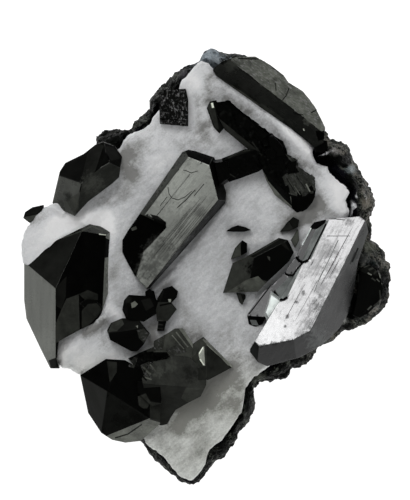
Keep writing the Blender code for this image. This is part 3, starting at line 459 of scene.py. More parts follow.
rock = {
    "top": 9.0, "waist": 5.5, "skirt": 0.45, "ragged": 0.2, "ledge": 0.3, "rimLeast": 1.2, "rimFull": 2.8, "spokes": 720,
    "foot": [(0.86, 0.0), (0.885, 0.3), (0.91, 0.9), (0.935, 1.7), (0.955, 2.5), (0.97, 3.2), (0.985, 4.1), (0.995, 4.9)],
    "rimRings": 34,
    "grainHeight": 0.22, "grainSize": 0.55, "chunkHeight": 0.5, "chunkSize": 2.0,
    "colour": (0.0015, 0.002, 0.0015), "paleSpeckAndGlint": (0.12, 0.13, 0.11), "brown": (0.19, 0.18, 0.155),
    "moss": (0.12, 0.14, 0.115), "darkSeamAndShade": (0.004, 0.004, 0.007), "darkSeamAndShadeWidth": 0.3, "darkSeamAndShadeMore": 1.5,
    "sideStart": 15.0, "sideFull": 21.0, "roughness": 0.4, "shine": 0.08,
    "outline": [
        (-0.8, 34.3), (-0.3, 35.5), (0.8, 36.2), (2.5, 35.7), (5.0, 35.3), (7.2, 34.8), (9.5, 33.0),
        (13.0, 30.3), (15.8, 27.7), (17.8, 25.0), (19.3, 22.7), (20.8, 21.3), (22.8, 20.7), (24.0, 19.7),
        (24.7, 18.0), (25.5, 16.3), (26.7, 14.3), (27.7, 12.7), (28.2, 10.0), (27.5, 8.0), (28.0, 5.8),
        (27.5, 4.3), (28.5, 3.8), (29.8, 2.7), (30.4, 0.7), (30.7, -2.0), (30.9, -4.8), (30.5, -6.3),
        (29.3, -7.6), (27.5, -9.0), (25.5, -10.0), (23.6, -10.7), (21.7, -12.0), (18.8, -13.5),
        (17.7, -15.5), (15.8, -16.7), (14.2, -17.2), (13.4, -18.4), (11.2, -19.1), (9.0, -19.2),
        (8.0, -20.3), (8.3, -22.7), (7.9, -24.5), (7.0, -26.5), (5.7, -27.4), (5.3, -29.0), (4.2, -30.0),
        (3.3, -32.0), (1.7, -32.8), (0.0, -34.8), (-1.0, -36.2), (-2.5, -36.2), (-4.2, -35.7),
        (-5.5, -34.8), (-6.7, -33.7), (-8.3, -32.3), (-9.5, -30.7), (-10.7, -29.2), (-12.8, -27.3),
        (-15.5, -26.0), (-17.3, -24.0), (-18.5, -21.7), (-19.5, -19.7), (-21.0, -17.3), (-22.8, -16.2),
        (-24.5, -15.7), (-26.2, -13.2), (-27.8, -9.3), (-28.3, -5.7), (-28.5, -1.5), (-29.0, 0.7),
        (-29.5, 2.3), (-29.5, 3.8), (-29.0, 5.5), (-28.5, 6.8), (-28.3, 8.0), (-27.5, 9.0), (-25.8, 9.7),
        (-23.8, 11.0), (-22.5, 14.3), (-21.2, 16.3), (-19.2, 18.0), (-17.8, 19.3), (-18.2, 20.5),
        (-18.2, 21.5), (-17.3, 22.2), (-15.0, 22.5), (-12.5, 22.8), (-11.5, 23.8), (-10.0, 25.2),
        (-8.8, 26.3), (-9.2, 27.3), (-8.8, 28.5), (-7.5, 29.5), (-6.3, 30.2), (-5.8, 31.2), (-4.2, 32.7),
        (-2.8, 33.3)],
    # Swells of the rim: x, y, rise, spread
    "swells": [
        (27.8, 0.7, 4.2, 2.5), (28.2, -5.7, 3.4, 2.7), (23.3, 17.7, 4.0, 2.5), (26.2, 11.7, 4.2, 2.3),
        (-8.5, 27.7, 4.2, 1.8), (-16.2, 21.3, 3.6, 2.2), (0.8, 35.2, 3.4, 1.8), (5.8, 34.8, 4.0, 2.0),
        (-4.2, 31.7, 2.6, 1.7), (-10.5, 24.0, 2.4, 1.5), (6.8, -25.7, 1.0, 2.7), (15.8, -16.7, 1.2, 2.3),
        (20.8, -11.7, 1.6, 2.3), (10.8, -18.3, 1.4, 1.7), (5.2, -28.7, 1.2, 1.3)],
    # Spots of other minerals on the rim: place on the photo, reach in mm, colour
    "spots": [
        (209, 56, 3.0, (0.32, 0.37, 0.41)), (214, 64, 1.6, (0.36, 0.40, 0.43)), (335, 151, 0.9, (0.26, 0.25, 0.24)),
        (352, 169, 0.9, (0.27, 0.31, 0.32)), (367, 202, 1.0, (0.24, 0.22, 0.18)),
        (370, 246, 1.6, (0.13, 0.14, 0.11)), (364, 258, 1.2, (0.17, 0.18, 0.17)),
        (372, 266, 1.0, (0.10, 0.13, 0.13)), (346, 320, 0.9, (0.45, 0.46, 0.44)),
        (337, 332, 1.1, (0.10, 0.10, 0.05)), (185, 75, 1.4, (0.10, 0.095, 0.105)),
        (147, 128, 0.8, (0.06, 0.065, 0.05)), (258, 376, 1.5, (0.08, 0.085, 0.07))],
    # Crumbs of natrolite and dark places: ends on the photo, reach and rise in mm, how pale (below 0 is dark)
    "crumbs": [
        (318, 156, 326, 153, 0.32, 3.8, 1.6), (329, 152, 333, 150, 0.4, 2.2, 0.5), (357, 190, 357, 196, 0.3, 1.0, 0.9),
        (352, 201, 354, 206, 0.3, 3.4, 1.2), (353, 207, 351, 215, 0.35, 3.4, 1.2), (350, 168, 353, 172, 0.5, 1.4, 0.4),
        (369, 271, 374, 275, 0.3, 1.4, 0.6), (379, 272, 381, 278, 0.3, 1.4, 0.8), (383, 284, 387, 286, 0.25, 0.8, 0.6),
        (376, 262, 380, 268, 0.3, 0.8, 0.35), (386, 291, 386, 299, 0.3, 0.5, 0.35), (345, 318, 342, 323, 0.4, 1.2, 0.5),
        (371, 308, 376, 305, 0.25, 1.8, 0.5), (364, 193, 368, 202, 0.3, 0.6, 0.3),
        (358, 318, 376, 313, 0.8, 0.4, 0.25), (368, 266, 385, 284, 1.5, 0.0, -1.4), (385, 286, 386, 302, 0.7, 0.0, -0.9),
        (356, 267, 364, 264, 0.8, 1.2, 0.5), (364, 264, 370, 256, 0.8, 0.6, 0.3), (355, 298, 351, 314, 0.8, -0.8, -1.4), (355, 317, 368, 313, 0.5, 0.0, -0.9),
        (318, 160, 346, 160, 0.8, 0.0, -1.4), (346, 162, 350, 157, 0.7, 0.0, -1.0), (350, 178, 356, 188, 0.8, 0.0, -1.0),
        (335, 330, 350, 326, 0.7, 0.0, -0.9), (374, 240, 370, 228, 0.5, 0.0, -0.8), (246, 392, 250, 412, 0.8, 0.0, -0.6),
        (96, 136, 130, 136, 1.2, 0.0, -1.0), (152, 96, 156, 112, 0.7, 0.0, -0.6), (276, 382, 300, 366, 0.7, 0.0, -0.7)]}


def rockMesh():
    spokes = rock["spokes"]
    turns = 2 * np.pi * np.arange(spokes) / spokes
    outer, inner = reachOf(rock["outline"], spokes) + rock["skirt"], reachOf(crust["outline"], spokes)
    outer = raggedReach(outer, turns, rock["ragged"])
    flat = np.minimum(inner + rock["ledge"], outer - rock["rimLeast"])
    room = np.clip((outer - inner - rock["rimLeast"]) / (rock["rimFull"] - rock["rimLeast"]), 0, 1)
    rings = [(outer * share, np.full(spokes, height)) for share, height in rock["foot"]]
    for place in range(rock["rimRings"] + 1):
        share = 1 - place / rock["rimRings"]
        reach = flat + (outer - flat) * share
        rise = swellHeight(rock["swells"], reach * np.cos(turns), reach * np.sin(turns))
        rise = rise * room * min(1.0, 4 * share) * (1 - share ** 6)
        rise += strokeSum([crumb[:6] for crumb in rock["crumbs"]], reach * np.cos(turns), reach * np.sin(turns))
        rings.append((reach, rock["top"] - (rock["top"] - rock["waist"]) * share ** 1.6 + rise))
    rings.append((flat - 0.1, np.full(spokes, rock["top"])))
    mesh = loftMesh("rock", turns, rings, 0.0, rock["top"])
    # How far each point is from the crust, for the dark seam along it: partly the rock's own dark rim, partly painted
    # shadow
    away = np.concatenate([reach - inner for reach, height in rings] + [[0.0, 0.0]])
    mesh.attributes.new("away", "FLOAT", "POINT").data.foreach_set("value", away)
    places = np.array([vert.co[:2] for vert in mesh.vertices]) / mm
    pale = strokeSum([crumb[:5] + crumb[6:] for crumb in rock["crumbs"]], places[:, 0], places[:, 1])
    mesh.attributes.new("pale", "FLOAT", "POINT").data.foreach_set("value", pale)
    return mesh


def chunkTree():
    # Breaks a surface into blocks that stand out unevenly, with rough grain on them
    tree, given, result = newGeometryTree("brokenSurface", {
        "Grain Height": ("NodeSocketFloat", 0.0003), "Grain Size": ("NodeSocketFloat", 0.0008),
        "Chunk Height": ("NodeSocketFloat", 0.0006), "Chunk Size": ("NodeSocketFloat", 0.002),
        "Lowest": ("NodeSocketFloat", 0.0006)})
    place = tree.nodes.new("GeometryNodeInputPosition").outputs[0]
    bend = addNode(tree, "ShaderNodeTexNoise", {"Scale": 600.0, "Detail": 2.0})
    tree.links.new(place, bend.inputs["Vector"])
    shift = addNode(tree, "ShaderNodeVectorMath", operation="MULTIPLY_ADD")
    tree.links.new(bend.outputs[1], shift.inputs[0])
    shift.inputs[1].default_value = (0.0012, 0.0012, 0.0012)
    tree.links.new(place, shift.inputs[2])
    total = None
    for size, rise in (("Chunk Size", "Chunk Height"), ("Grain Size", "Grain Height")):
        cells = addNode(tree, "ShaderNodeTexVoronoi", {"Randomness": 1.0, "Smoothness": 0.25}, feature="SMOOTH_F1")
        tree.links.new(shift.outputs[0], cells.inputs["Vector"])
        tree.links.new(addMath(tree, "DIVIDE", 1.0, given.outputs[size]), cells.inputs["Scale"])
        parts = addNode(tree, "ShaderNodeSeparateXYZ")
        tree.links.new(cells.outputs["Color"], parts.inputs[0])
        dome = addMath(tree, "MULTIPLY", cells.outputs["Distance"], -0.7)
        level = addMath(tree, "ADD", parts.outputs["X"], dome)
        level = addMath(tree, "MULTIPLY", addMath(tree, "SUBTRACT", level, 0.3), given.outputs[rise])
        total = level if total is None else addMath(tree, "ADD", total, level)
    offsetAbove(tree, given, result, place, total)
    return tree


def rockMaterial():
    material, tree, shader, where = newMaterial("matrixRock")
    parts = addNode(tree, "ShaderNodeSeparateXYZ")
    tree.links.new(where, parts.inputs[0])
    side = addRange(tree, parts.outputs["X"], rock["sideStart"] * mm, rock["sideFull"] * mm)
    speck = addNoise(tree, where, 2700.0, 4.0, 0.75)
    patch = addNoise(tree, where, 500.0, 3.0, 0.6)
    # The right side is paler and has brown and green patches
    sidePale = addMix(tree, addRange(tree, patch, 0.42, 0.58), rock["moss"], rock["brown"])
    pale = addMix(tree, side, rock["paleSpeckAndGlint"], sidePale)
    # Pale specks over the dark rock: on most of it its own grains and painted glints, on the right side brown and green
    # patches
    level = addMath(tree, "ADD", speck, addMath(tree, "MULTIPLY", patch, 0.6))
    level = addMath(tree, "ADD", level, addMath(tree, "MULTIPLY", side, 0.08))
    tone = addMix(tree, addRange(tree, level, 0.84, 0.98), rock["colour"], pale)
    # Darker along the crust, wider on the right side: the rock's own dark rim and painted shadow at the foot of the
    # crust's edge
    away = addNode(tree, "ShaderNodeAttribute", attribute_name="away").outputs["Fac"]
    reach = addMath(tree, "MULTIPLY_ADD", side, rock["darkSeamAndShadeMore"])
    reach.node.inputs[2].default_value = rock["darkSeamAndShadeWidth"]
    beyond = addMath(tree, "SUBTRACT", addMath(tree, "ADD", away, addNoise(tree, where, 700.0, 3.0)), reach)
    tone = addMix(tree, addRange(tree, beyond, 0.8, 0.3), tone, rock["darkSeamAndShade"])
    upper = addRange(tree, parts.outputs["Z"], 6.5 * mm, 8.0 * mm)
    for right, down, reach, colour in rock["spots"]:
        spot = addMath(tree, "MULTIPLY", flatSpot(tree, where, onPhoto(right, down), reach), upper)
        tone = addMix(tree, spot, tone, colour)
    strokes = addNode(tree, "ShaderNodeAttribute", attribute_name="pale").outputs["Fac"]
    strokes = addMath(tree, "MULTIPLY", strokes, addRange(tree, speck, 0.35, 0.6, 0.6, 1.3))
    tone = addMix(tree, addRange(tree, strokes, 0.2, 1.0), tone, crust["colour"])
    tone = addMix(tree, addRange(tree, strokes, -0.1, -0.8), tone, rock["colour"])
    tree.links.new(tone, shader.inputs["Base Color"])
    gloss = addNoise(tree, where, 1400.0, 3.0, 0.6)
    tree.links.new(addRange(tree, gloss, 0.35, 0.65, rock["roughness"] - 0.2, rock["roughness"] + 0.3),
                   shader.inputs["Roughness"])
    shader.inputs["IOR"].default_value = 1.6
    shader.inputs["Specular IOR Level"].default_value = 0.5 * rock["shine"]
    grit = addNode(tree, "ShaderNodeTexVoronoi", {"Scale": 1500.0})
    tree.links.new(where, grit.inputs["Vector"])
    fine = addNoise(tree, where, 4200.0, 4.0, 0.7)
    height = addMath(tree, "ADD", grit.outputs["Distance"], fine)
    addBump(tree, shader, height, 0.8, 0.22)
    return material


rockPaint = rockMaterial()
rockPiece = addPiece("rock", rockMesh())
applyTree(rockPiece, chunkTree(), {
    "Grain Height": rock["grainHeight"] * mm, "Grain Size": rock["grainSize"] * mm,
    "Chunk Height": rock["chunkHeight"] * mm, "Chunk Size": rock["chunkSize"] * mm,
    "Lowest": 0.6 * mm, "Material": rockPaint})
setSmooth(rockPiece, 30)
placePiece(rockPiece, "rock", "matrix_rock")
print("rock made:", len(rockPiece.data.polygons), "faces")


# The crystals

# Finishes: grey, shine, roughness, grain, wear. gloss, black, broken, stony, smeared and mossy are looks of the
# surfaces themselves; pitted is too, but its flecks are painted glints. The greys from dusk to white, and the grey
# tuples in the crystal lists, are painted reflections, glints and highlights where they lie on bare faces of the
# black crystals; on stony and mossy parts they are those parts' own colour
finishesAndReflections = {
    "gloss": (0.0016, 1.0, 0.13, 0.0, 0.0), "black": (0.0008, 0.04, 0.5, 0.0, 0.0), "ink": (0.006, 0.06, 0.5, 0.0, 0.0),
    "dusk": (0.016, 0.06, 0.5, 0.0, 0.0), "dark": (0.026, 0.07, 0.5, 0.0, 0.0), "slate": (0.045, 0.07, 0.5, 0.0, 0.0),
    "grey": (0.085, 0.08, 0.5, 0.0, 0.0), "pale": (0.15, 0.1, 0.5, 0.0, 0.0), "light": (0.24, 0.1, 0.5, 0.2, 0.0),
    "blade": (0.21, 0.1, 0.5, 0.0, 0.0), "bright": (0.60, 0.3, 0.4, 0.2, 0.0), "white": (0.95, 0.5, 0.3, 0.0, 0.0),
    "broken": (0.0008, 0.03, 0.35, 0.2, 0.0), "pitted": (0.002, 0.2, 0.4, 6.0, 0.0), "stony": (0.13, 0.1, 0.6, 1.1, 0.0),
    "smeared": (0.03, 0.1, 0.5, 2.5, 0.0), "mossy": (0.03, 0.1, 0.5, 1.2, 0.0)}
neptunite = {
    "tint": (0.95, 1.0, 0.86), "shineTint": (0.96, 1.0, 0.92), "ior": 1.7, "edge": 0.07, "sameFace": 5.0,
    "lineGap": 0.30, "crossGap": 0.9, "lineLength": 5.0, "scratch": 0.03, "inset": 0.07, "grooveHalf": 0.075}
# Each crystal: the bearing of its length, the depth of its growth lines and what is on it.
# "faces" is dip, bearing and finish, where a lighter grey on a bare crystal face is a painted reflection.
# "broken" is dip, bearing, height and size of the blocks. "patches" is finish, lift and corners, "strokes" is
# finish, lift, width and points, and light ones on bare faces are painted glints and highlights, "grooves" is
# how many, depth, width of the band and its two ends, "marks" is a soft spot with its reach, grey, shine and
# roughness, and "shards" is finish, rise over the surface and corners
crystals = {
    "centre_crystal": {
        "plain": "gloss", "along": 51, "lines": 0.014,
        "faces": [(0, 0, (0.0005, 0.02, 0.5, 0.0, 0.0)), (14, 150, (0.003, 1.32, 0.2, 0.0, 0.4)),
                  (55, 144, (0.034, 0.48, 0.3, 0.0, 0.0)), (60, 76, "black"), (68, 19, (0.004, 0.03, 0.5, 0.0, 0.0)),
                  (70, 320, (0.003, 0.11, 0.3, 0.0, 0.0))],
        "patches": [("ink", 0.0, [(150, 214), (158, 216), (166, 222), (165, 225), (155, 221)]),
                    ("slate", 0.0, [(131, 228), (136, 226), (137, 229), (132, 231)])],
        "strokes": [("slate", 0.0, 1.0, [(141, 214), (148, 217), (154, 220)]),
                    ("slate", -0.02, 0.8, [(168, 187), (169, 194), (172, 198), (178, 200), (185, 197), (192, 191)]),
                    ("slate", -0.02, 0.8, [(183, 170), (187, 171), (191, 173), (198, 171)]),
                    ("slate", -0.02, 0.7, [(160, 206), (167, 197)]), ("slate", -0.02, 1.0, [(178, 207), (186, 200)]),
                    ("slate", -0.02, 0.9, [(186, 200), (195, 190)]), ("slate", -0.02, 0.8, [(194, 196), (204, 184)])],
        "grooves": [(26, 0.022, 17, (214, 192), (158, 262)), (6, 0.05, 9, (215, 194), (166, 256)),
                    (8, 0.012, 24, (196, 172), (160, 222))],
        "marks": [(178, 182, 34, 0.004, 2.05, 0.2), (206, 165, 16, 0.004, 1.85, 0.2),
                  (206, 190, 12, 0.004, 1.6, 0.2), (150, 268, 15, 0.004, 0.5, 0.24), (163, 252, 17, 0.004, 0.6, 0.22), (199, 212, 8, 0.004, 0.75, 0.22), (184, 234, 8, 0.004, 0.95, 0.22)]},
    "blade_cluster": {
        "plain": "gloss", "along": 61, "lines": 0.010, "tint": (0.93, 1.0, 0.97), "shineTint": (0.99, 0.99, 1.0),
        "faces": [(17, 110, (0.0016, 1.9, 0.13, 0.0, 0.8)), (9, 115, (0.006, 1.35, 0.12, 0.0, 0.0)),
                  (9, 118, (0.012, 1.9, 0.12, 0.0, 0.0)), (50, 279, (0.006, 0.34, 0.25, 0.0, 0.0)),
                  (52, 300, (0.009, 0.38, 0.25, 0.0, 0.0)), (56, 341, (0.010, 0.48, 0.25, 0.3, 0.0)),
                  (62, 212, "dusk"), (42, 264, "black")],
        # The blade patches are painted reflections of the flat, mirror-like blades, and the light patch one of small
        # facets at the lower end
        "patches": [("blade", 0.0, [(319, 222), (329, 220), (311, 259), (301, 262)]),
                    ("blade", 0.0, [(282, 275), (298, 268), (303, 263), (287, 297), (283, 300), (279, 299),
                                    (275, 292)]),
                    ("broken", 0.08, [(310, 225), (315, 219), (327, 217), (325, 223), (317, 229), (312, 229)]),
                    ("light", 0.0, [(250, 320), (256, 320), (259, 326), (252, 325)]),
                    ("dusk", 0.0, [(248, 322), (250, 325), (255, 328), (251, 328)]),
                    ((0.045, 0.25, 0.3, 0.0, 0.0), 0.0, [(366, 222), (369, 232), (362, 258), (345, 262), (346, 260)])],
        # The white shard is a painted highlight in the gap between the blades
        "shards": [("white", -0.6, [(264, 314), (271, 291), (282, 299), (275, 309), (267, 321)])],
        "strokes": [("black", -0.05, 2.6, [(296, 257), (300, 262), (304, 262), (308, 260)]),
                    ("black", -0.05, 1.6, [(308, 260), (317, 242), (326, 224)]),
                    ("black", -0.04, 1.7, [(284, 272), (287, 275), (293, 275), (298, 268), (303, 262)]),
                    ("black", -0.05, 2.6, [(274, 291), (279, 299), (283, 300), (287, 297)]),
                    ("black", 0.0, 1.2, [(275, 280), (262, 297), (249, 314)]),
                    ("black", 0.0, 1.4, [(248, 316), (256, 318), (266, 317)]),
                    ("grey", 0.0, 1.6, [(360, 250), (353, 264)]), ("slate", 0.0, 1.4, [(355, 252), (350, 264)]),
                    ("ink", 0.0, 1.8, [(358, 248), (352, 262)]),
                    # The white stroke is a painted glint along the edge of a blade
                    ("white", 0.05, 1.3, [(302, 245), (311, 228)]), ("black", 0.0, 0.9, [(300, 244), (310, 226)]),
                    ("slate", -0.03, 0.6, [(327, 236), (350, 236)]),
                    ("pale", -0.02, 0.8, [(338, 240), (328, 261), (318, 281), (314, 292)]),
                    ("slate", -0.02, 0.8, [(326, 219), (335, 219), (345, 220)])],
        "grooves": [(4, 0.025, 9, (322, 298), (303, 333)), (10, 0.008, 26, (345, 225), (285, 335)),
                    (3, 0.015, 12, (350, 240), (325, 290))],
        "marks": [(272, 328, 24, 0.08, 2.2, 0.11), (318, 250, 18, 0.02, 1.25, 0.15), (330, 250, 11, 0.02, 0.85, 0.17),
                  (314, 266, 13, 0.02, 1.1, 0.16), (332, 270, 10, 0.02, 1.0, 0.17), (321, 288, 11, 0.02, 1.0, 0.17),
                  (319, 307, 12, 0.02, 0.55, 0.18), (309, 322, 8, 0.02, 0.9, 0.17), (349, 221, 5, 0.02, 0.6, 0.17),
                  (300, 334, 6, 0.02, 1.1, 0.17),
                  (296, 302, 2.6, 0.01, 0.4, 0.2), (287, 316, 2.6, 0.01, 0.5, 0.2), (285, 326, 2, 0.01, 0.5, 0.2),
                  (303, 293, 2.2, 0.01, 0.55, 0.2), (318, 340, 14, 0.10, 0.3, 0.3)]},
    "left_crystal": {
        "plain": "gloss", "along": 90, "lines": 0.008,
        "faces": [(25, 300, "black"), (30, 0, (0.0006, 0.08, 0.2, 0.0, 0.0)), (43, 141, (0.0075, 0.06, 0.4, 0.1, 0.0)),
                  (50, 180, (0.038, 1.2, 0.2, 0.0, 0.0)), (55, 57, (0.016, 0.56, 0.25, 0.0, 0.0)),
                  (60, 358, (0.13, 0.8, 0.3, 0.0, 0.0))],
        "patches": [("dark", 0.0, [(56, 343), (56, 322), (62, 309), (66, 299), (79, 294), (80, 330)]),
                    ("dusk", 0.0, [(79, 294), (88, 290), (98, 294), (98, 300), (84, 299)]),
                    ("ink", 0.0, [(56, 288), (67, 276), (66, 297), (62, 309), (57, 306)]),
                    ("dusk", 0.12, [(82, 311), (88, 304), (97, 303), (102, 309), (98, 316), (88, 326), (82, 331)]),
                    ("black", 0.0, [(104, 237), (110, 240), (109, 257), (104, 258)]),
                    ("ink", 0.0, [(49, 360), (57, 357), (62, 369), (52, 370)])],
        # The white stroke and the grey stroke are painted highlights along the top edges
        "strokes": [("white", 0.04, 0.9, [(99, 234), (106, 235)]), ("slate", 0.0, 1.2, [(62, 238), (82, 231)]),
                    ("grey", 0.0, 1.5, [(82, 231), (92, 226), (103, 231)]), ("black", 0.0, 2.0, [(81, 330), (81, 306)]),
                    ("black", 0.0, 2.0, [(81, 306), (87, 300), (98, 301)])],
        "grooves": [(5, 0.003, 26, (42, 270), (42, 350))],
        # The mark is a painted reflection on the lower part of the left face
        "marks": [(44, 342, 15, 0.055, 1.45, 0.2)]},
    "upper_left_crystal": {
        "plain": "gloss", "along": 48, "lines": 0.008,
        "faces": [(23, 93, "black"), (39, 312, (0.017, 0.12, 0.4, 0.3, 0.0)), (42, 129, (0.003, 0.03, 0.4, 0.0, 0.0)),
                  (45, 135, (0.003, 0.03, 0.4, 0.0, 0.0)), (47, 193, (0.035, 0.45, 0.3, 0.1, 0.0)), (60, 36, "black")],
        "patches": [((0.009, 0.05, 0.5, 0.0, 0.0), 0.0, [(88, 152), (97, 143), (104, 146), (95, 173), (84, 183), (82, 179), (85, 165)]),
                    ("ink", 0.0, [(104, 146), (113, 147), (122, 158), (111, 161)]),
                    ("black", -0.08, [(103, 148), (110, 160), (95, 173)]),
                    ("ink", 0.0, [(112, 150), (118, 155), (116, 159), (111, 156)]),
                    ("slate", 0.0, [(66, 200), (79, 193), (79, 208), (74, 214)])],
        "strokes": [("black", 0.0, 1.2, [(82, 184), (80, 192)])],
        "marks": [(68, 196, 5, 0.010, 0.1, 0.4), (93, 185, 12, 0.045, 0.2, 0.4)]},
    "upper_right_crystal": {
        "along": -36, "lines": 0.012, "gap": 0.26,
        "faces": [(38, 232, (0.008, 0.3, 0.25, 0.1, 0.0)), (48, 52, "stony")],
        "broken": [(48, 52, 0.28, 1.7)],
        "patches": [("broken", 0.15, [(216, 53), (225, 51), (232, 55), (231, 61), (223, 65), (216, 61)]),
                    ("broken", 0.10, [(315, 131), (324, 131), (326, 139), (318, 141)])],
        "strokes": [("slate", 0.0, 2.2, [(215, 76), (240, 92), (262, 108)]), ("dark", 0.0, 4.0, [(260, 105), (283, 121)]),
                    ("light", 0.0, 3.0, [(236, 56), (256, 55)]), ("dusk", -0.1, 1.5, [(238, 59), (258, 59)]),
                    ("black", -0.16, 0.9, [(289, 88), (286, 96), (282, 101)]),
                    ("black", -0.12, 0.8, [(293, 113), (298, 115), (303, 115)]),
                    ("dusk", -0.10, 1.2, [(275, 83), (276, 91)]), ("dusk", -0.15, 1.4, [(311, 113), (317, 110)]),
                    ("white", 0.05, 1.0, [(303, 129), (304, 131)])],
        "grooves": [(4, 0.05, 8, (222, 74), (310, 138))],
        "marks": [(232, 64, 8, 0.04, 0.1, 0.5), (250, 64, 4, 0.06, 0.1, 0.5), (274, 80, 3, 0.05, 0.1, 0.5),
                  (308, 122, 4, 0.08, 0.1, 0.5), (262, 84, 3, 0.06, 0.1, 0.5)]},
    "middle_right_crystal": {
        "plain": "gloss", "along": 35, "lines": 0.008,
        "faces": [(8, 350, "black"), (36, 271, (0.031, 0.2, 0.45, 0.1, 0.0)), (42, 170, (0.032, 0.25, 0.45, 0.1, 0.0)),
                  (50, 112, "ink")],
        # The ink patch is a painted reflection, the small slate patch a dimmed painted glint, and the slate stroke a
        # painted highlight along the top edge
        "patches": [("grey", 0.0, [(226, 293), (246, 280), (258, 276), (266, 284), (258, 292)]),
                    ("ink", 0.0, [(279, 242), (285, 242), (290, 251), (285, 248)]),
                    ("slate", 0.0, [(267, 256), (270, 257), (270, 261), (268, 259)])],
        "strokes": [("slate", 0.0, 0.9, [(233, 263), (256, 253), (279, 239)])],
        "marks": [(251, 268, 7, 0.0008, 0.06, 0.4), (241, 290, 4, 0.008, 0.1, 0.4)]},
    "lower_middle_cluster": {
        "along": 20, "lines": 0.010,
        "faces": [(22, 300, "dusk"), (32, 95, "ink"), (60, 186, "black"), (50, 166, "ink"), (10, 330, "black"),
                  (20, 285, "black"), (10, 270, "black")],
        # The pale patch and the three-cornered light patch are painted glints
        "patches": [("pale", 0.03, [(131, 303), (135, 301), (138, 304), (135, 307), (132, 308)]),
                    ("ink", 0.0, [(141, 300), (150, 298), (154, 306), (146, 311)]),
                    ("slate", 0.0, [(108, 332), (112, 323), (122, 319), (124, 324), (117, 331)]),
                    ("light", 0.03, [(136, 326), (138, 325), (138, 328)]),
                    ("smeared", 0.05, [(137, 330), (144, 328), (150, 335), (144, 343), (139, 338)]),
                    ("light", 0.03, [(168, 299), (171, 299), (171, 302), (169, 302)])],
        "strokes": [("slate", -0.03, 0.7, [(157, 320), (163, 321)]), ("slate", -0.03, 0.7, [(157, 324), (163, 325)]),
                    ("slate", -0.03, 0.7, [(157, 328), (163, 329)])],
        "marks": [(127, 300, 5, 0.008, 0.1, 0.4)]},
    "bottom_cluster": {
        "along": -60, "lines": 0.008,
        "faces": [(12, 150, "broken"), (4, 60, "black"), (16, 40, "slate"), (20, 38, "black"), (24, 62, (0.022, 0.2, 0.5, 0.3, 0.0)),
                  (27, 348, "dusk"), (30, 249, (0.004, 0.1, 0.3, 0.0, 0.0)), (28, 191, "dark"),
                  (40, 277, (0.013, 0.1, 0.45, 0.1, 0.0)), (43, 160, "slate"), (50, 26, (0.26, 0.6, 0.4, 0.0, 0.0)),
                  (50, 200, (0.008, 0.1, 0.4, 0.1, 0.0)), (52, 274, (0.13, 0.3, 0.5, 0.5, 0.0)), (38, 134, "black"),
                  (40, 37, (0.2, 0.1, 0.5, 0.0, 0.0))],
        "broken": [(12, 150, 0.35, 0.8)],
        # The first patch, with the two white strokes, is a painted glint on a small face
        "patches": [((0.36, 0.8, 0.3, 0.5, 0.0), 0.0, [(198, 353), (204, 346), (205, 366), (200, 360)]),
                    ("dusk", 0.05, [(107, 361), (117, 362), (117, 372), (110, 382)]),
                    ("black", 0.0, [(117, 362), (128, 361), (135, 366), (136, 380), (117, 372)]),
                    ("smeared", 0.10, [(140, 365), (150, 361), (156, 366), (151, 378), (145, 376)]),
                    ("smeared", 0.0, [(128, 366), (134, 357), (138, 358), (134, 368)]),
                    ("smeared", 0.05, [(141, 334), (156, 331), (165, 336), (163, 350), (147, 352)]),
                    ("mossy", 0.0, [(165, 350), (182, 342), (187, 352), (172, 356)]),
                    ("broken", -0.10, [(141, 356), (150, 352), (167, 352), (171, 358), (150, 362)]),
                    ("dusk", 0.08, [(150, 401), (163, 403), (171, 416), (165, 424), (150, 419)]),
                    ("dark", 0.05, [(138, 396), (146, 393), (151, 402), (146, 410), (139, 405)]),
                    ("black", -0.06, [(143, 408), (150, 408), (150, 417), (144, 415)]),
                    ("dusk", 0.0, [(163, 386), (178, 387), (176, 400), (165, 412), (161, 404)]),
                    ((0.036, 0.07, 0.5, 0.0, 0.0), 0.0, [(186, 387), (206, 388), (200, 400), (190, 404), (181, 398)]),
                    ("dark", 0.0, [(190, 366), (199, 347), (198, 372), (200, 380)]),
                    ("dusk", 0.0, [(198, 368), (206, 366), (206, 380), (198, 380)])],
        # The two white strokes are painted glints
        "strokes": [("white", 0.0, 1.1, [(199, 354), (203, 347)]), ("white", 0.0, 1.3, [(200, 359), (204, 365)]),
                    ("grey", 0.06, 1.8, [(143, 367), (151, 374)]), ("grey", 0.06, 1.4, [(150, 364), (156, 371)]),
                    ("grey", 0.06, 1.6, [(145, 377), (152, 379)]), ("slate", 0.03, 1.5, [(130, 360), (134, 367)]),
                    ("black", 0.0, 1.6, [(139, 372), (147, 380)]), ("dark", 0.03, 1.2, [(172, 366), (160, 378)]),
                    ("pale", 0.05, 1.2, [(176, 332), (188, 347)]), ("pale", 0.05, 1.0, [(172, 335), (184, 349)]),
                    ("pale", 0.0, 2.0, [(203, 339), (217, 352), (229, 365)]),
                    ("dusk", -0.05, 1.4, [(115, 438), (128, 434), (142, 424)])],
        "marks": [(158, 371, 8, 0.05, 0.2, 0.5), (170, 366, 8, 0.045, 0.2, 0.5), (190, 374, 10, 0.010, 0.1, 0.5)]},
    "left_edge_crystal": {
        "along": 30, "lines": 0.012, "faces": [(22, 20, "ink"), (40, 310, "slate")]},
    "rim_crystal": {
        "along": 70, "lines": 0.012, "gap": 0.3, "faces": [(8, 160, "black"), (45, 305, "broken")],
        "broken": [(45, 305, 0.25, 0.9)],
        "patches": [("ink", 0.0, [(356, 270), (366, 265), (378, 270), (378, 276), (366, 273)])],
        # The slate, grey, pale and light strokes are painted glints on the crystal and its rim
        "strokes": [("slate", 0.1, 2.2, [(364, 267), (371, 264)]), ("slate", 0.1, 2.0, [(369, 270), (378, 266)]),
                    ("dark", 0.1, 2.0, [(374, 274), (380, 268)]), ("light", 0.1, 1.3, [(368, 273), (372, 275)]),
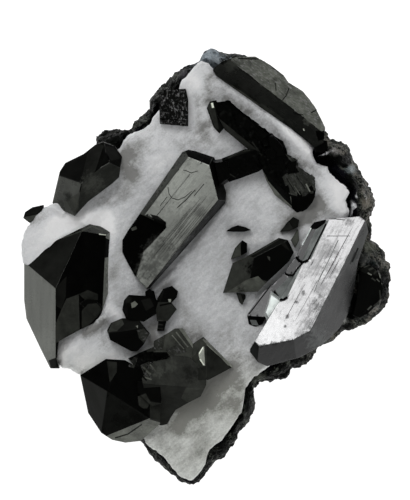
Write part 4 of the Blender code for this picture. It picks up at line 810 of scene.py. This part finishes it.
                    ("light", 0.1, 1.2, [(379, 272), (381, 278)]), ("grey", 0.1, 1.2, [(377, 279), (380, 282)]),
                    ("slate", 0.1, 1.4, [(372, 278), (376, 281)]), ("pale", 0.1, 1.2, [(382, 283), (386, 288)]),
                    ("dark", 0.0, 1.4, [(380, 290), (381, 300), (374, 306)]),
                    ("grey", 0.05, 1.6, [(368, 310), (372, 306)]), ("dusk", 0.05, 1.4, [(359, 272), (358, 282)])]},
    "small_crystal_1": {"along": 5, "lines": 0.01, "faces": [(14, 80, "black")]},
    "small_crystal_2": {"along": 60, "lines": 0.01, "faces": [(42, 190, (0.065, 0.08, 0.5, 0.0, 0.0)), (28, 350, "black")]},
    "small_crystal_3": {"along": 50, "lines": 0.01, "faces": [(20, 200, "dusk"), (25, 40, "ink")]},
    "small_crystal_4": {"along": 80, "lines": 0.01, "faces": [(40, 180, "grey")]},
    "small_crystal_5": {"along": -40, "lines": 0.01, "faces": [(30, 200, "dark"), (30, 20, "ink")]},
    "diagonal_cluster": {
        "along": -40, "lines": 0.012, "gap": 0.26,
        # The face at dip 58, bearing 233 is lighter: a painted reflection of the white crust on the side of the prism
        "faces": [(6, 250, "broken"), (7, 330, "broken"), (8, 320, "broken"), (30, 10, "ink"), (40, 29, "mossy"),
                  (42, 195, "ink"), (45, 112, "ink"), (50, 283, "black"), (50, 286, "black"), (58, 47, "broken"),
                  (58, 233, (0.17, 0.1, 0.5, 0.0, 0.0)), (60, 235, "dark")],
        "broken": [(6, 250, 0.35, 1.2), (7, 330, 0.35, 1.4), (8, 320, 0.6, 1.3), (58, 47, 0.5, 1.4), (40, 29, 0.5, 1.0)],
        "patches": [("mossy", 0.0, [(284, 180), (289, 174), (301, 172), (309, 176), (312, 190), (303, 198), (289, 194)]),
                    ("mossy", 0.0, [(282, 177), (287, 173), (292, 183), (286, 187)]),
                    ("broken", -0.1, [(284, 187), (288, 185), (290, 193), (284, 192)]),
                    ("broken", -0.1, [(297, 193), (300, 191), (303, 198), (297, 199)]),
                    ("black", -0.1, [(308, 188), (313, 184), (314, 195), (309, 199)]),
                    ("black", 0.0, [(262, 169), (290, 196), (292, 208), (284, 199), (271, 187)]),
                    ("black", 0.0, [(292, 198), (306, 196), (307, 207), (298, 214)]),
                    # The dark patch on the leaf is a painted reflection
                    ("dark", 0.0, [(207, 106), (211, 101), (215, 108), (219, 130), (215, 128)])],
        # The white stroke on the leaf and the light stroke at the lower end are painted glints
        "strokes": [("white", 0.05, 2.2, [(212, 103), (213, 108)]), ("light", 0.03, 1.3, [(306, 184), (310, 192)]),
                    ("grey", 0.03, 0.9, [(312, 176), (314, 190)]), ("slate", 0.04, 1.2, [(288, 180), (297, 195)]),
                    ("slate", 0.04, 1.1, [(292, 175), (303, 192)]), ("slate", 0.04, 1.0, [(299, 174), (308, 184)]),
                    ("grey", 0.04, 0.8, [(294, 186), (300, 195)]), ("ink", 0.0, 0.9, [(286, 178), (295, 192)]),
                    ("ink", 0.0, 0.9, [(296, 176), (305, 189)]), ("dark", 0.05, 2.0, [(266, 153), (268, 160)]),
                    ("dark", 0.04, 1.2, [(228, 158), (240, 152), (250, 150)]), ("dusk", 0.04, 1.4, [(252, 142), (262, 156)]),
                    ("dusk", 0.04, 1.2, [(226, 172), (236, 178)])],
        "shards": [("broken", 0.1, [(212, 160), (230, 158), (232, 179), (218, 189)]),
                   ("broken", 0.2, [(285, 166), (290, 161), (298, 159), (296, 175), (288, 174)]),
                   ("broken", 0.25, [(266, 134), (272, 133), (283, 145), (288, 160), (276, 160), (268, 148)]),
                   ("mossy", 0.1, [(309, 176), (312, 172), (315, 180), (314, 196), (309, 197)]),
                   ("broken", 0.6, [(262, 150), (270, 145), (278, 152), (276, 162), (266, 161)])]},
    "rough_block": {
        # The rough block's fleck colour is for painted glints in its pits
        "along": 90, "lines": 0.012, "gap": 0.22, "fleckAndGlint": 0.42, "faces": [(4, 270, "pitted"), (50, 266, "pitted")],
        "broken": [(4, 270, 0.4, 0.45), (50, 266, 0.4, 0.45)]}}


def neptuniteMaterial(name, look, finishAndReflection):
    # Growth lines run along the crystal: the pattern is turned to its bearing and stretched
    grey, shine, roughness, grain, wear = finishAndReflection
    along, marks = look["along"], look.get("marks", [])
    tint, shineTint = look.get("tint", neptunite["tint"]), look.get("shineTint", neptunite["shineTint"])
    material, tree, shader, where = newMaterial(name)
    turn = addNode(tree, "ShaderNodeMapping", vector_type="TEXTURE")
    turn.inputs["Rotation"].default_value = (0.0, 0.0, math.radians(along))
    turn.inputs["Scale"].default_value = (9.0, 1.0, 1.0)
    tree.links.new(where, turn.inputs["Vector"])
    lines = addNoise(tree, turn.outputs[0], 2400.0, 4.0, 0.65)
    smear = addNoise(tree, turn.outputs[0], 420.0, 3.0, 0.6)
    blotch = addNoise(tree, where, 420.0, 4.0, 0.65)
    # The finish's grey: on bare faces of the black crystals a lighter grey is a painted reflection
    tone = [grey * part for part in tint]
    colour = addMix(tree, addRange(tree, blotch, 0.35, 0.65), [0.6 * part for part in tone],
                    [1.4 * part for part in tone])
    if grain:
        turn = addNode(tree, "ShaderNodeMapping", vector_type="TEXTURE")
        turn.inputs["Rotation"].default_value = (0.0, 0.0, math.radians(along))
        turn.inputs["Scale"].default_value = (2.0, 1.0, 1.0)
        tree.links.new(where, turn.inputs["Vector"])
        speck = addNoise(tree, turn.outputs[0], 2600.0, 4.0, 0.75)
        dull = addRange(tree, speck, 0.5, 0.32, 0.0, 0.6 * min(1.0, grain))
        colour = addMix(tree, dull, colour, [0.35 * part for part in tone])
        # Lighter flecks of grain; on the rough block they are painted glints
        fleckAndGlint = addRange(tree, speck, 0.54, 0.66, 0.0, min(1.0, grain))
        colour = addMix(tree, fleckAndGlint, colour, [look.get("fleckAndGlint", grey * 1.7 + 0.03 * grain)] * 3)
    rough = addRange(tree, addMath(tree, "MULTIPLY", smear, blotch), 0.15, 0.4, roughness * 0.7, roughness * 1.5)
    gleam = None
    if wear:
        # Worn streaks: rougher and duller than the face
        dust = addNoise(tree, where, 3600.0, 3.0, 0.7)
        streak = addMath(tree, "ADD", lines, addMath(tree, "MULTIPLY", blotch, 0.5))
        streak = addMath(tree, "ADD", streak, addMath(tree, "MULTIPLY", dust, 0.6))
        streak = addRange(tree, streak, 1.0, 1.4, 0.0, wear)
        rough = addMath(tree, "ADD", rough, addMath(tree, "MULTIPLY", streak, 0.22))
        gleam = addMath(tree, "MULTIPLY", addMath(tree, "SUBTRACT", 1.0, addMath(tree, "MULTIPLY", streak, 0.3)),
                        0.5 * shine)
    for right, down, reach, markGrey, markShine, markRoughness in marks:
        # A bright mark shows on bright faces only
        if markShine > 1 > shine:
            continue
        spot = flatSpot(tree, where, onPhoto(right, down), reach / photo["perMm"])
        spot = addMath(tree, "MULTIPLY", spot, addRange(tree, lines, 0.35, 0.65, 0.55, 1.45), clamp=True)
        colour = addMix(tree, spot, colour, [markGrey * part for part in tint])
        rough = addBlend(tree, spot, rough, markRoughness)
        gleam = addBlend(tree, spot, 0.5 * shine if gleam is None else gleam, 0.5 * markShine)
    tree.links.new(colour, shader.inputs["Base Color"])
    tree.links.new(rough, shader.inputs["Roughness"])
    shader.inputs["IOR"].default_value = neptunite["ior"]
    shader.inputs["Specular Tint"].default_value = (*shineTint, 1.0)
    if gleam is None:
        shader.inputs["Specular IOR Level"].default_value = 0.5 * shine
    else:
        tree.links.new(gleam, shader.inputs["Specular IOR Level"])
    height = lines
    if grain:
        height = addMath(tree, "ADD", lines, addMath(tree, "MULTIPLY", addNoise(tree, where, 3000.0, 4.0, 0.7), 4 * grain))
    addBump(tree, shader, height, 0.25 + 0.35 * min(1.0, grain), neptunite["scratch"] * (1 + grain))
    return material


def lookingTo(dip, bearing):
    dip, bearing = math.radians(dip), math.radians(bearing)
    return Vector((math.sin(dip) * math.cos(bearing), math.sin(dip) * math.sin(bearing), math.cos(dip)))


def cutBy(mesh, faces, place, direction):
    # Cuts some faces by a plane and gives all that they became
    parts = list(faces) + list({edge for face in faces for edge in face.edges})
    parts += list({vert for face in faces for vert in face.verts})
    result = bmesh.ops.bisect_plane(mesh, geom=parts, dist=1e-7, plane_co=place, plane_no=direction)
    return [part for part in result["geom"] if isinstance(part, bmesh.types.BMFace)]


def cutInside(mesh, faces, points, margin=0.0):
    # Cuts the faces along the sides of a polygon seen from above: what is inside, and what was cut off
    middle = sum(points, Vector()) / len(points)
    outside = []
    for first, second in zip(points, points[1:] + points[:1]):
        outward = Vector((second.y - first.y, first.x - second.x, 0)).normalized()
        if outward.dot(middle - first) > 0:
            outward.negate()
        place = first - outward * margin
        parts = cutBy(mesh, faces, place, outward)
        faces = [face for face in parts if (face.calc_center_median() - place).dot(outward) < 0]
        outside += [face for face in parts if (face.calc_center_median() - place).dot(outward) >= 0]
    return faces, outside


def addPatch(mesh, points, lift, paint):
    # Gives a polygon of the surface its own finish, painted reflections and glints included, and raises or sinks it
    # behind a narrow wall
    upper = [face for face in mesh.faces if face.normal.z > 0.1]
    inside, outside = cutInside(mesh, upper, points)
    if lift:
        inner, wall = cutInside(mesh, inside, points, neptunite["inset"] * mm)
        for vert in {vert for face in inner for vert in face.verts}:
            vert.co.z += lift * mm
        inside = inner + wall
    for face in inside:
        face.material_index = paint


def strokeSides(first, second, width):
    side = Vector((first.y - second.y, second.x - first.x, 0)).normalized() * (width / photo["perMm"] / 2 * mm)
    return [first + side, second + side, second - side, first - side]


def addShard(mesh, skin, points, rise, paint):
    # A small closed block with a smaller top that stands out of the surface
    middle = sum(points, Vector()) / len(points)
    hits = [skin.ray_cast(Vector((point.x, point.y, 1.0)), Vector((0, 0, -1)))[0] for point in points + [middle]]
    high = max(hit.z for hit in hits if hit) + rise * mm
    foot = [mesh.verts.new((point.x, point.y, high - 3 * mm)) for point in points]
    top = [mesh.verts.new((middle + (point - middle) * 0.75) + Vector((0, 0, high))) for point in points]
    sides = [mesh.faces.new((foot[place - 1], foot[place], top[place], top[place - 1])) for place in range(len(foot))]
    made = sides + [mesh.faces.new(top), mesh.faces.new(foot[::-1])]
    bmesh.ops.recalc_face_normals(mesh, faces=made)
    for face in made:
        face.material_index = paint


def cutAcross(mesh, direction, gap, generator):
    # Cuts a solid by upright planes, a random gap apart, so that its faces can be shaped
    reach = [vert.co.dot(direction) for vert in mesh.verts]
    place, stop = min(reach) + gap * mm * 0.5, max(reach)
    while place < stop:
        cutBy(mesh, mesh.faces[:], direction * place, direction)
        place += gap * mm * generator.uniform(0.6, 1.4)


def brokenHeight(place, size, seed):
    # Chips of two sizes that stand out unevenly and lean to all sides, with fine grain
    total = 0.0
    for share, scale in ((0.6, 1.0), (0.4, 0.45)):
        spot = place / (size * scale * mm) + Vector((seed, 0, 0))
        corner = noise.voronoi(spot)[1][0]
        lean = noise.noise_vector(corner * 3.1)
        total += share * (noise.noise(corner * 5.3) + 0.8 * lean.dot(spot - corner))
    return total + 0.1 * noise.noise(place / (0.3 * mm))


def dressCrystal(piece, name, look, seed):
    paints, order = [], {}

    def paintOf(finishAndReflection):
        finishAndReflection = finishesAndReflections[finishAndReflection] if isinstance(finishAndReflection, str) else finishAndReflection
        if finishAndReflection not in order:
            order[finishAndReflection] = len(paints)
            paints.append(neptuniteMaterial(f"{name}_{len(paints)}", look, finishAndReflection))
        return order[finishAndReflection]

    mesh = bmesh.new()
    mesh.from_mesh(piece.data)
    bmesh.ops.dissolve_limit(mesh, angle_limit=math.radians(0.5), verts=mesh.verts[:], edges=mesh.edges[:])
    sharp = [edge for edge in mesh.edges if len(edge.link_faces) == 2 and edge.calc_face_angle() > math.radians(12)]
    bmesh.ops.bevel(mesh, geom=sharp, offset=neptunite["edge"] * mm, segments=2, profile=0.6,
                    affect="EDGES", clamp_overlap=True)
    mesh.normal_update()
    near = math.cos(math.radians(neptunite["sameFace"]))
    rugged = mesh.faces.layers.int.new("rugged")
    plain = paintOf(look.get("plain", "black"))
    faces = [(lookingTo(dip, bearing), paintOf(finishAndReflection)) for dip, bearing, finishAndReflection in look["faces"]]
    broken = [(lookingTo(dip, bearing), height, size) for dip, bearing, height, size in look.get("broken", [])]
    for face in mesh.faces:
        way, paint = max(faces, key=lambda entry: face.normal.dot(entry[0]))
        face.material_index = paint if face.normal.dot(way) > near else plain
        for place, (way, height, size) in enumerate(broken):
            if face.normal.dot(way) > near:
                face[rugged] = place + 1
    for finishAndReflection, lift, corners in look.get("patches", []):
        addPatch(mesh, [onPhoto(*corner) for corner in corners], lift, paintOf(finishAndReflection))
    for finishAndReflection, lift, width, points in look.get("strokes", []):
        for first, second in zip(points[:-1], points[1:]):
            addPatch(mesh, strokeSides(onPhoto(*first), onPhoto(*second), width), lift, paintOf(finishAndReflection))
    generator = np.random.default_rng(seed)
    bearing = math.radians(look["along"])
    lengthwise = Vector((math.cos(bearing), math.sin(bearing), 0))
    sideways = Vector((-math.sin(bearing), math.cos(bearing), 0))
    grooves = []
    for count, depth, width, first, second in look.get("grooves", []):
        ends = sorted(onPhoto(*spot).dot(lengthwise) for spot in (first, second))
        middle = (onPhoto(*first) + onPhoto(*second)).dot(sideways) / 2
        for turn in range(count):
            over = middle + generator.uniform(-0.5, 0.5) * width / photo["perMm"] * mm
            start = ends[0] + generator.uniform(0.0, 0.5) * (ends[1] - ends[0])
            stop = start + generator.uniform(0.3, 1.0) * (ends[1] - start)
            grooves.append((over, start, stop, depth * generator.uniform(0.5, 1.2)))
            for shift in (-1, 0, 1):
                place = over + shift * neptunite["grooveHalf"] * mm
                cutBy(mesh, mesh.faces[:], sideways * place, sideways)
    cutAcross(mesh, sideways, look.get("gap", neptunite["lineGap"]), generator)
    cutAcross(mesh, lengthwise, look.get("gap", neptunite["crossGap"]), generator)
    mesh.normal_update()
    moves = []
    for vert in mesh.verts:
        marked = {face[rugged] for face in vert.link_faces} - {0}
        if marked:
            way, height, size = broken[max(marked) - 1]
            moves.append((vert, way * height * mm * brokenHeight(vert.co, size, seed)))
        elif all(face.normal.dot(vert.normal) > 0.999 for face in vert.link_faces):
            run, over = vert.co.dot(lengthwise), vert.co.dot(sideways)
            spot = Vector((run / mm / neptunite["lineLength"], over / mm * 2.1, vert.co.z / mm * 0.8 + seed))
            broad = Vector((run / mm / 7.0, over / mm / 3.0, vert.co.z / mm / 3.0 + seed))
            rise = look["lines"] * (noise.noise(spot) + 1.5 * noise.noise(broad))
            for middle, start, stop, depth in grooves:
                if abs(over - middle) < 0.001 * mm and start < run < stop:
                    rise -= depth * min(1.0, (run - start) / mm, (stop - run) / mm)
            moves.append((vert, vert.normal * rise * mm))
    for vert, move in moves:
        vert.co += move
    skin = BVHTree.FromBMesh(mesh)
    for finishAndReflection, rise, corners in look.get("shards", []):
        addShard(mesh, skin, [onPhoto(*corner) for corner in corners], rise, paintOf(finishAndReflection))
    bmesh.ops.triangulate(mesh, faces=[face for face in mesh.faces if len(face.verts) > 4])
    mesh.faces.layers.int.remove(rugged)
    for paint in paints:
        piece.data.materials.append(paint)
    mesh.to_mesh(piece.data)
    mesh.free()


for place, (name, look) in enumerate(crystals.items()):
    piece = copyOfNode(f"{name}_dressed", name)
    dressCrystal(piece, name, look, 11 + place)
    setSmooth(piece, 28)
    placePiece(piece, "neptunite", name)
print("crystals made")


# Floor, light and camera

studio = {
    "floor": 1.0, "floorReach": 0.13, "floorFade": 0.12, "floorEdge": 0.10, "sky": (0.12, 0.121, 0.122),
    # Soft boxes: angle from straight up, bearing, half angle across, brightness
    "boxes": [(35, 110, 10.5, 6.0), (35, 110, 30, 1.0), (28, 150, 9, 1.1), (78, 205, 22, 0.35),
              (82, 270, 20, 0.3), (45, 300, 38, 0.7)],
    "boxFar": 0.5,
    "cameraHeight": 1.2, "cameraY": 2.67, "plane": 16.0, "scale": 6.0, "frameHeight": 500}


def makeFloor():
    mesh = bpy.data.meshes.new("floor")
    mesh.from_pydata([(-3, -3, 0), (3, -3, 0), (3, 3, 0), (-3, 3, 0)], [], [(0, 1, 2, 3)])
    floor = addPiece("floor", mesh)
    material, tree, shader, where = newMaterial("paleFloor")
    shader.inputs["Base Color"].default_value = (0.3, 0.3, 0.3, 1.0)
    shader.inputs["Roughness"].default_value = 0.9
    shader.inputs["Specular IOR Level"].default_value = 0.0
    away = addNode(tree, "ShaderNodeVectorMath", operation="LENGTH")
    tree.links.new(where, away.inputs[0])
    glow = addRange(tree, away.outputs["Value"], studio["floorReach"] + studio["floorFade"], studio["floorReach"],
                    studio["floorEdge"], studio["floor"])
    shader.inputs["Emission Color"].default_value = (1.0, 1.0, 1.0, 1.0)
    tree.links.new(glow, shader.inputs["Emission Strength"])
    mesh.materials.append(material)


def makeLights():
    world = bpy.data.worlds.new("studio")
    bpy.context.scene.world = world
    world.use_nodes = True
    world.node_tree.nodes["Background"].inputs["Color"].default_value = (*studio["sky"], 1.0)
    for zenith, bearing, half, bright in studio["boxes"]:
        light = bpy.data.lights.new("softBox", "AREA")
        light.shape = "DISK"
        radius = studio["boxFar"] * math.tan(math.radians(half))
        light.size = 2 * radius
        light.energy = bright * math.pi * math.pi * radius ** 2
        box = bpy.data.objects.new("softBox", light)
        zenith, bearing = math.radians(zenith), math.radians(bearing)
        way = Vector((math.sin(zenith) * math.cos(bearing), math.sin(zenith) * math.sin(bearing), math.cos(zenith)))
        box.location = way * studio["boxFar"]
        box.rotation_euler = way.to_track_quat("Z", "Y").to_euler()
        bpy.context.scene.collection.objects.link(box)


def makeCamera():
    lens = bpy.data.cameras.new("camera")
    far = studio["cameraHeight"] - studio["plane"] * mm
    lens.lens = studio["scale"] * far / mm * 36.0 / studio["frameHeight"]
    lens.sensor_width = 36.0
    lens.clip_end = 20.0
    camera = bpy.data.objects.new("camera", lens)
    camera.location = (0.0, studio["cameraY"] * mm, studio["cameraHeight"])
    bpy.context.scene.collection.objects.link(camera)
    bpy.context.scene.camera = camera


makeFloor()
makeLights()
makeCamera()
bpy.context.scene.view_settings.view_transform = "Standard"
print("studio made")
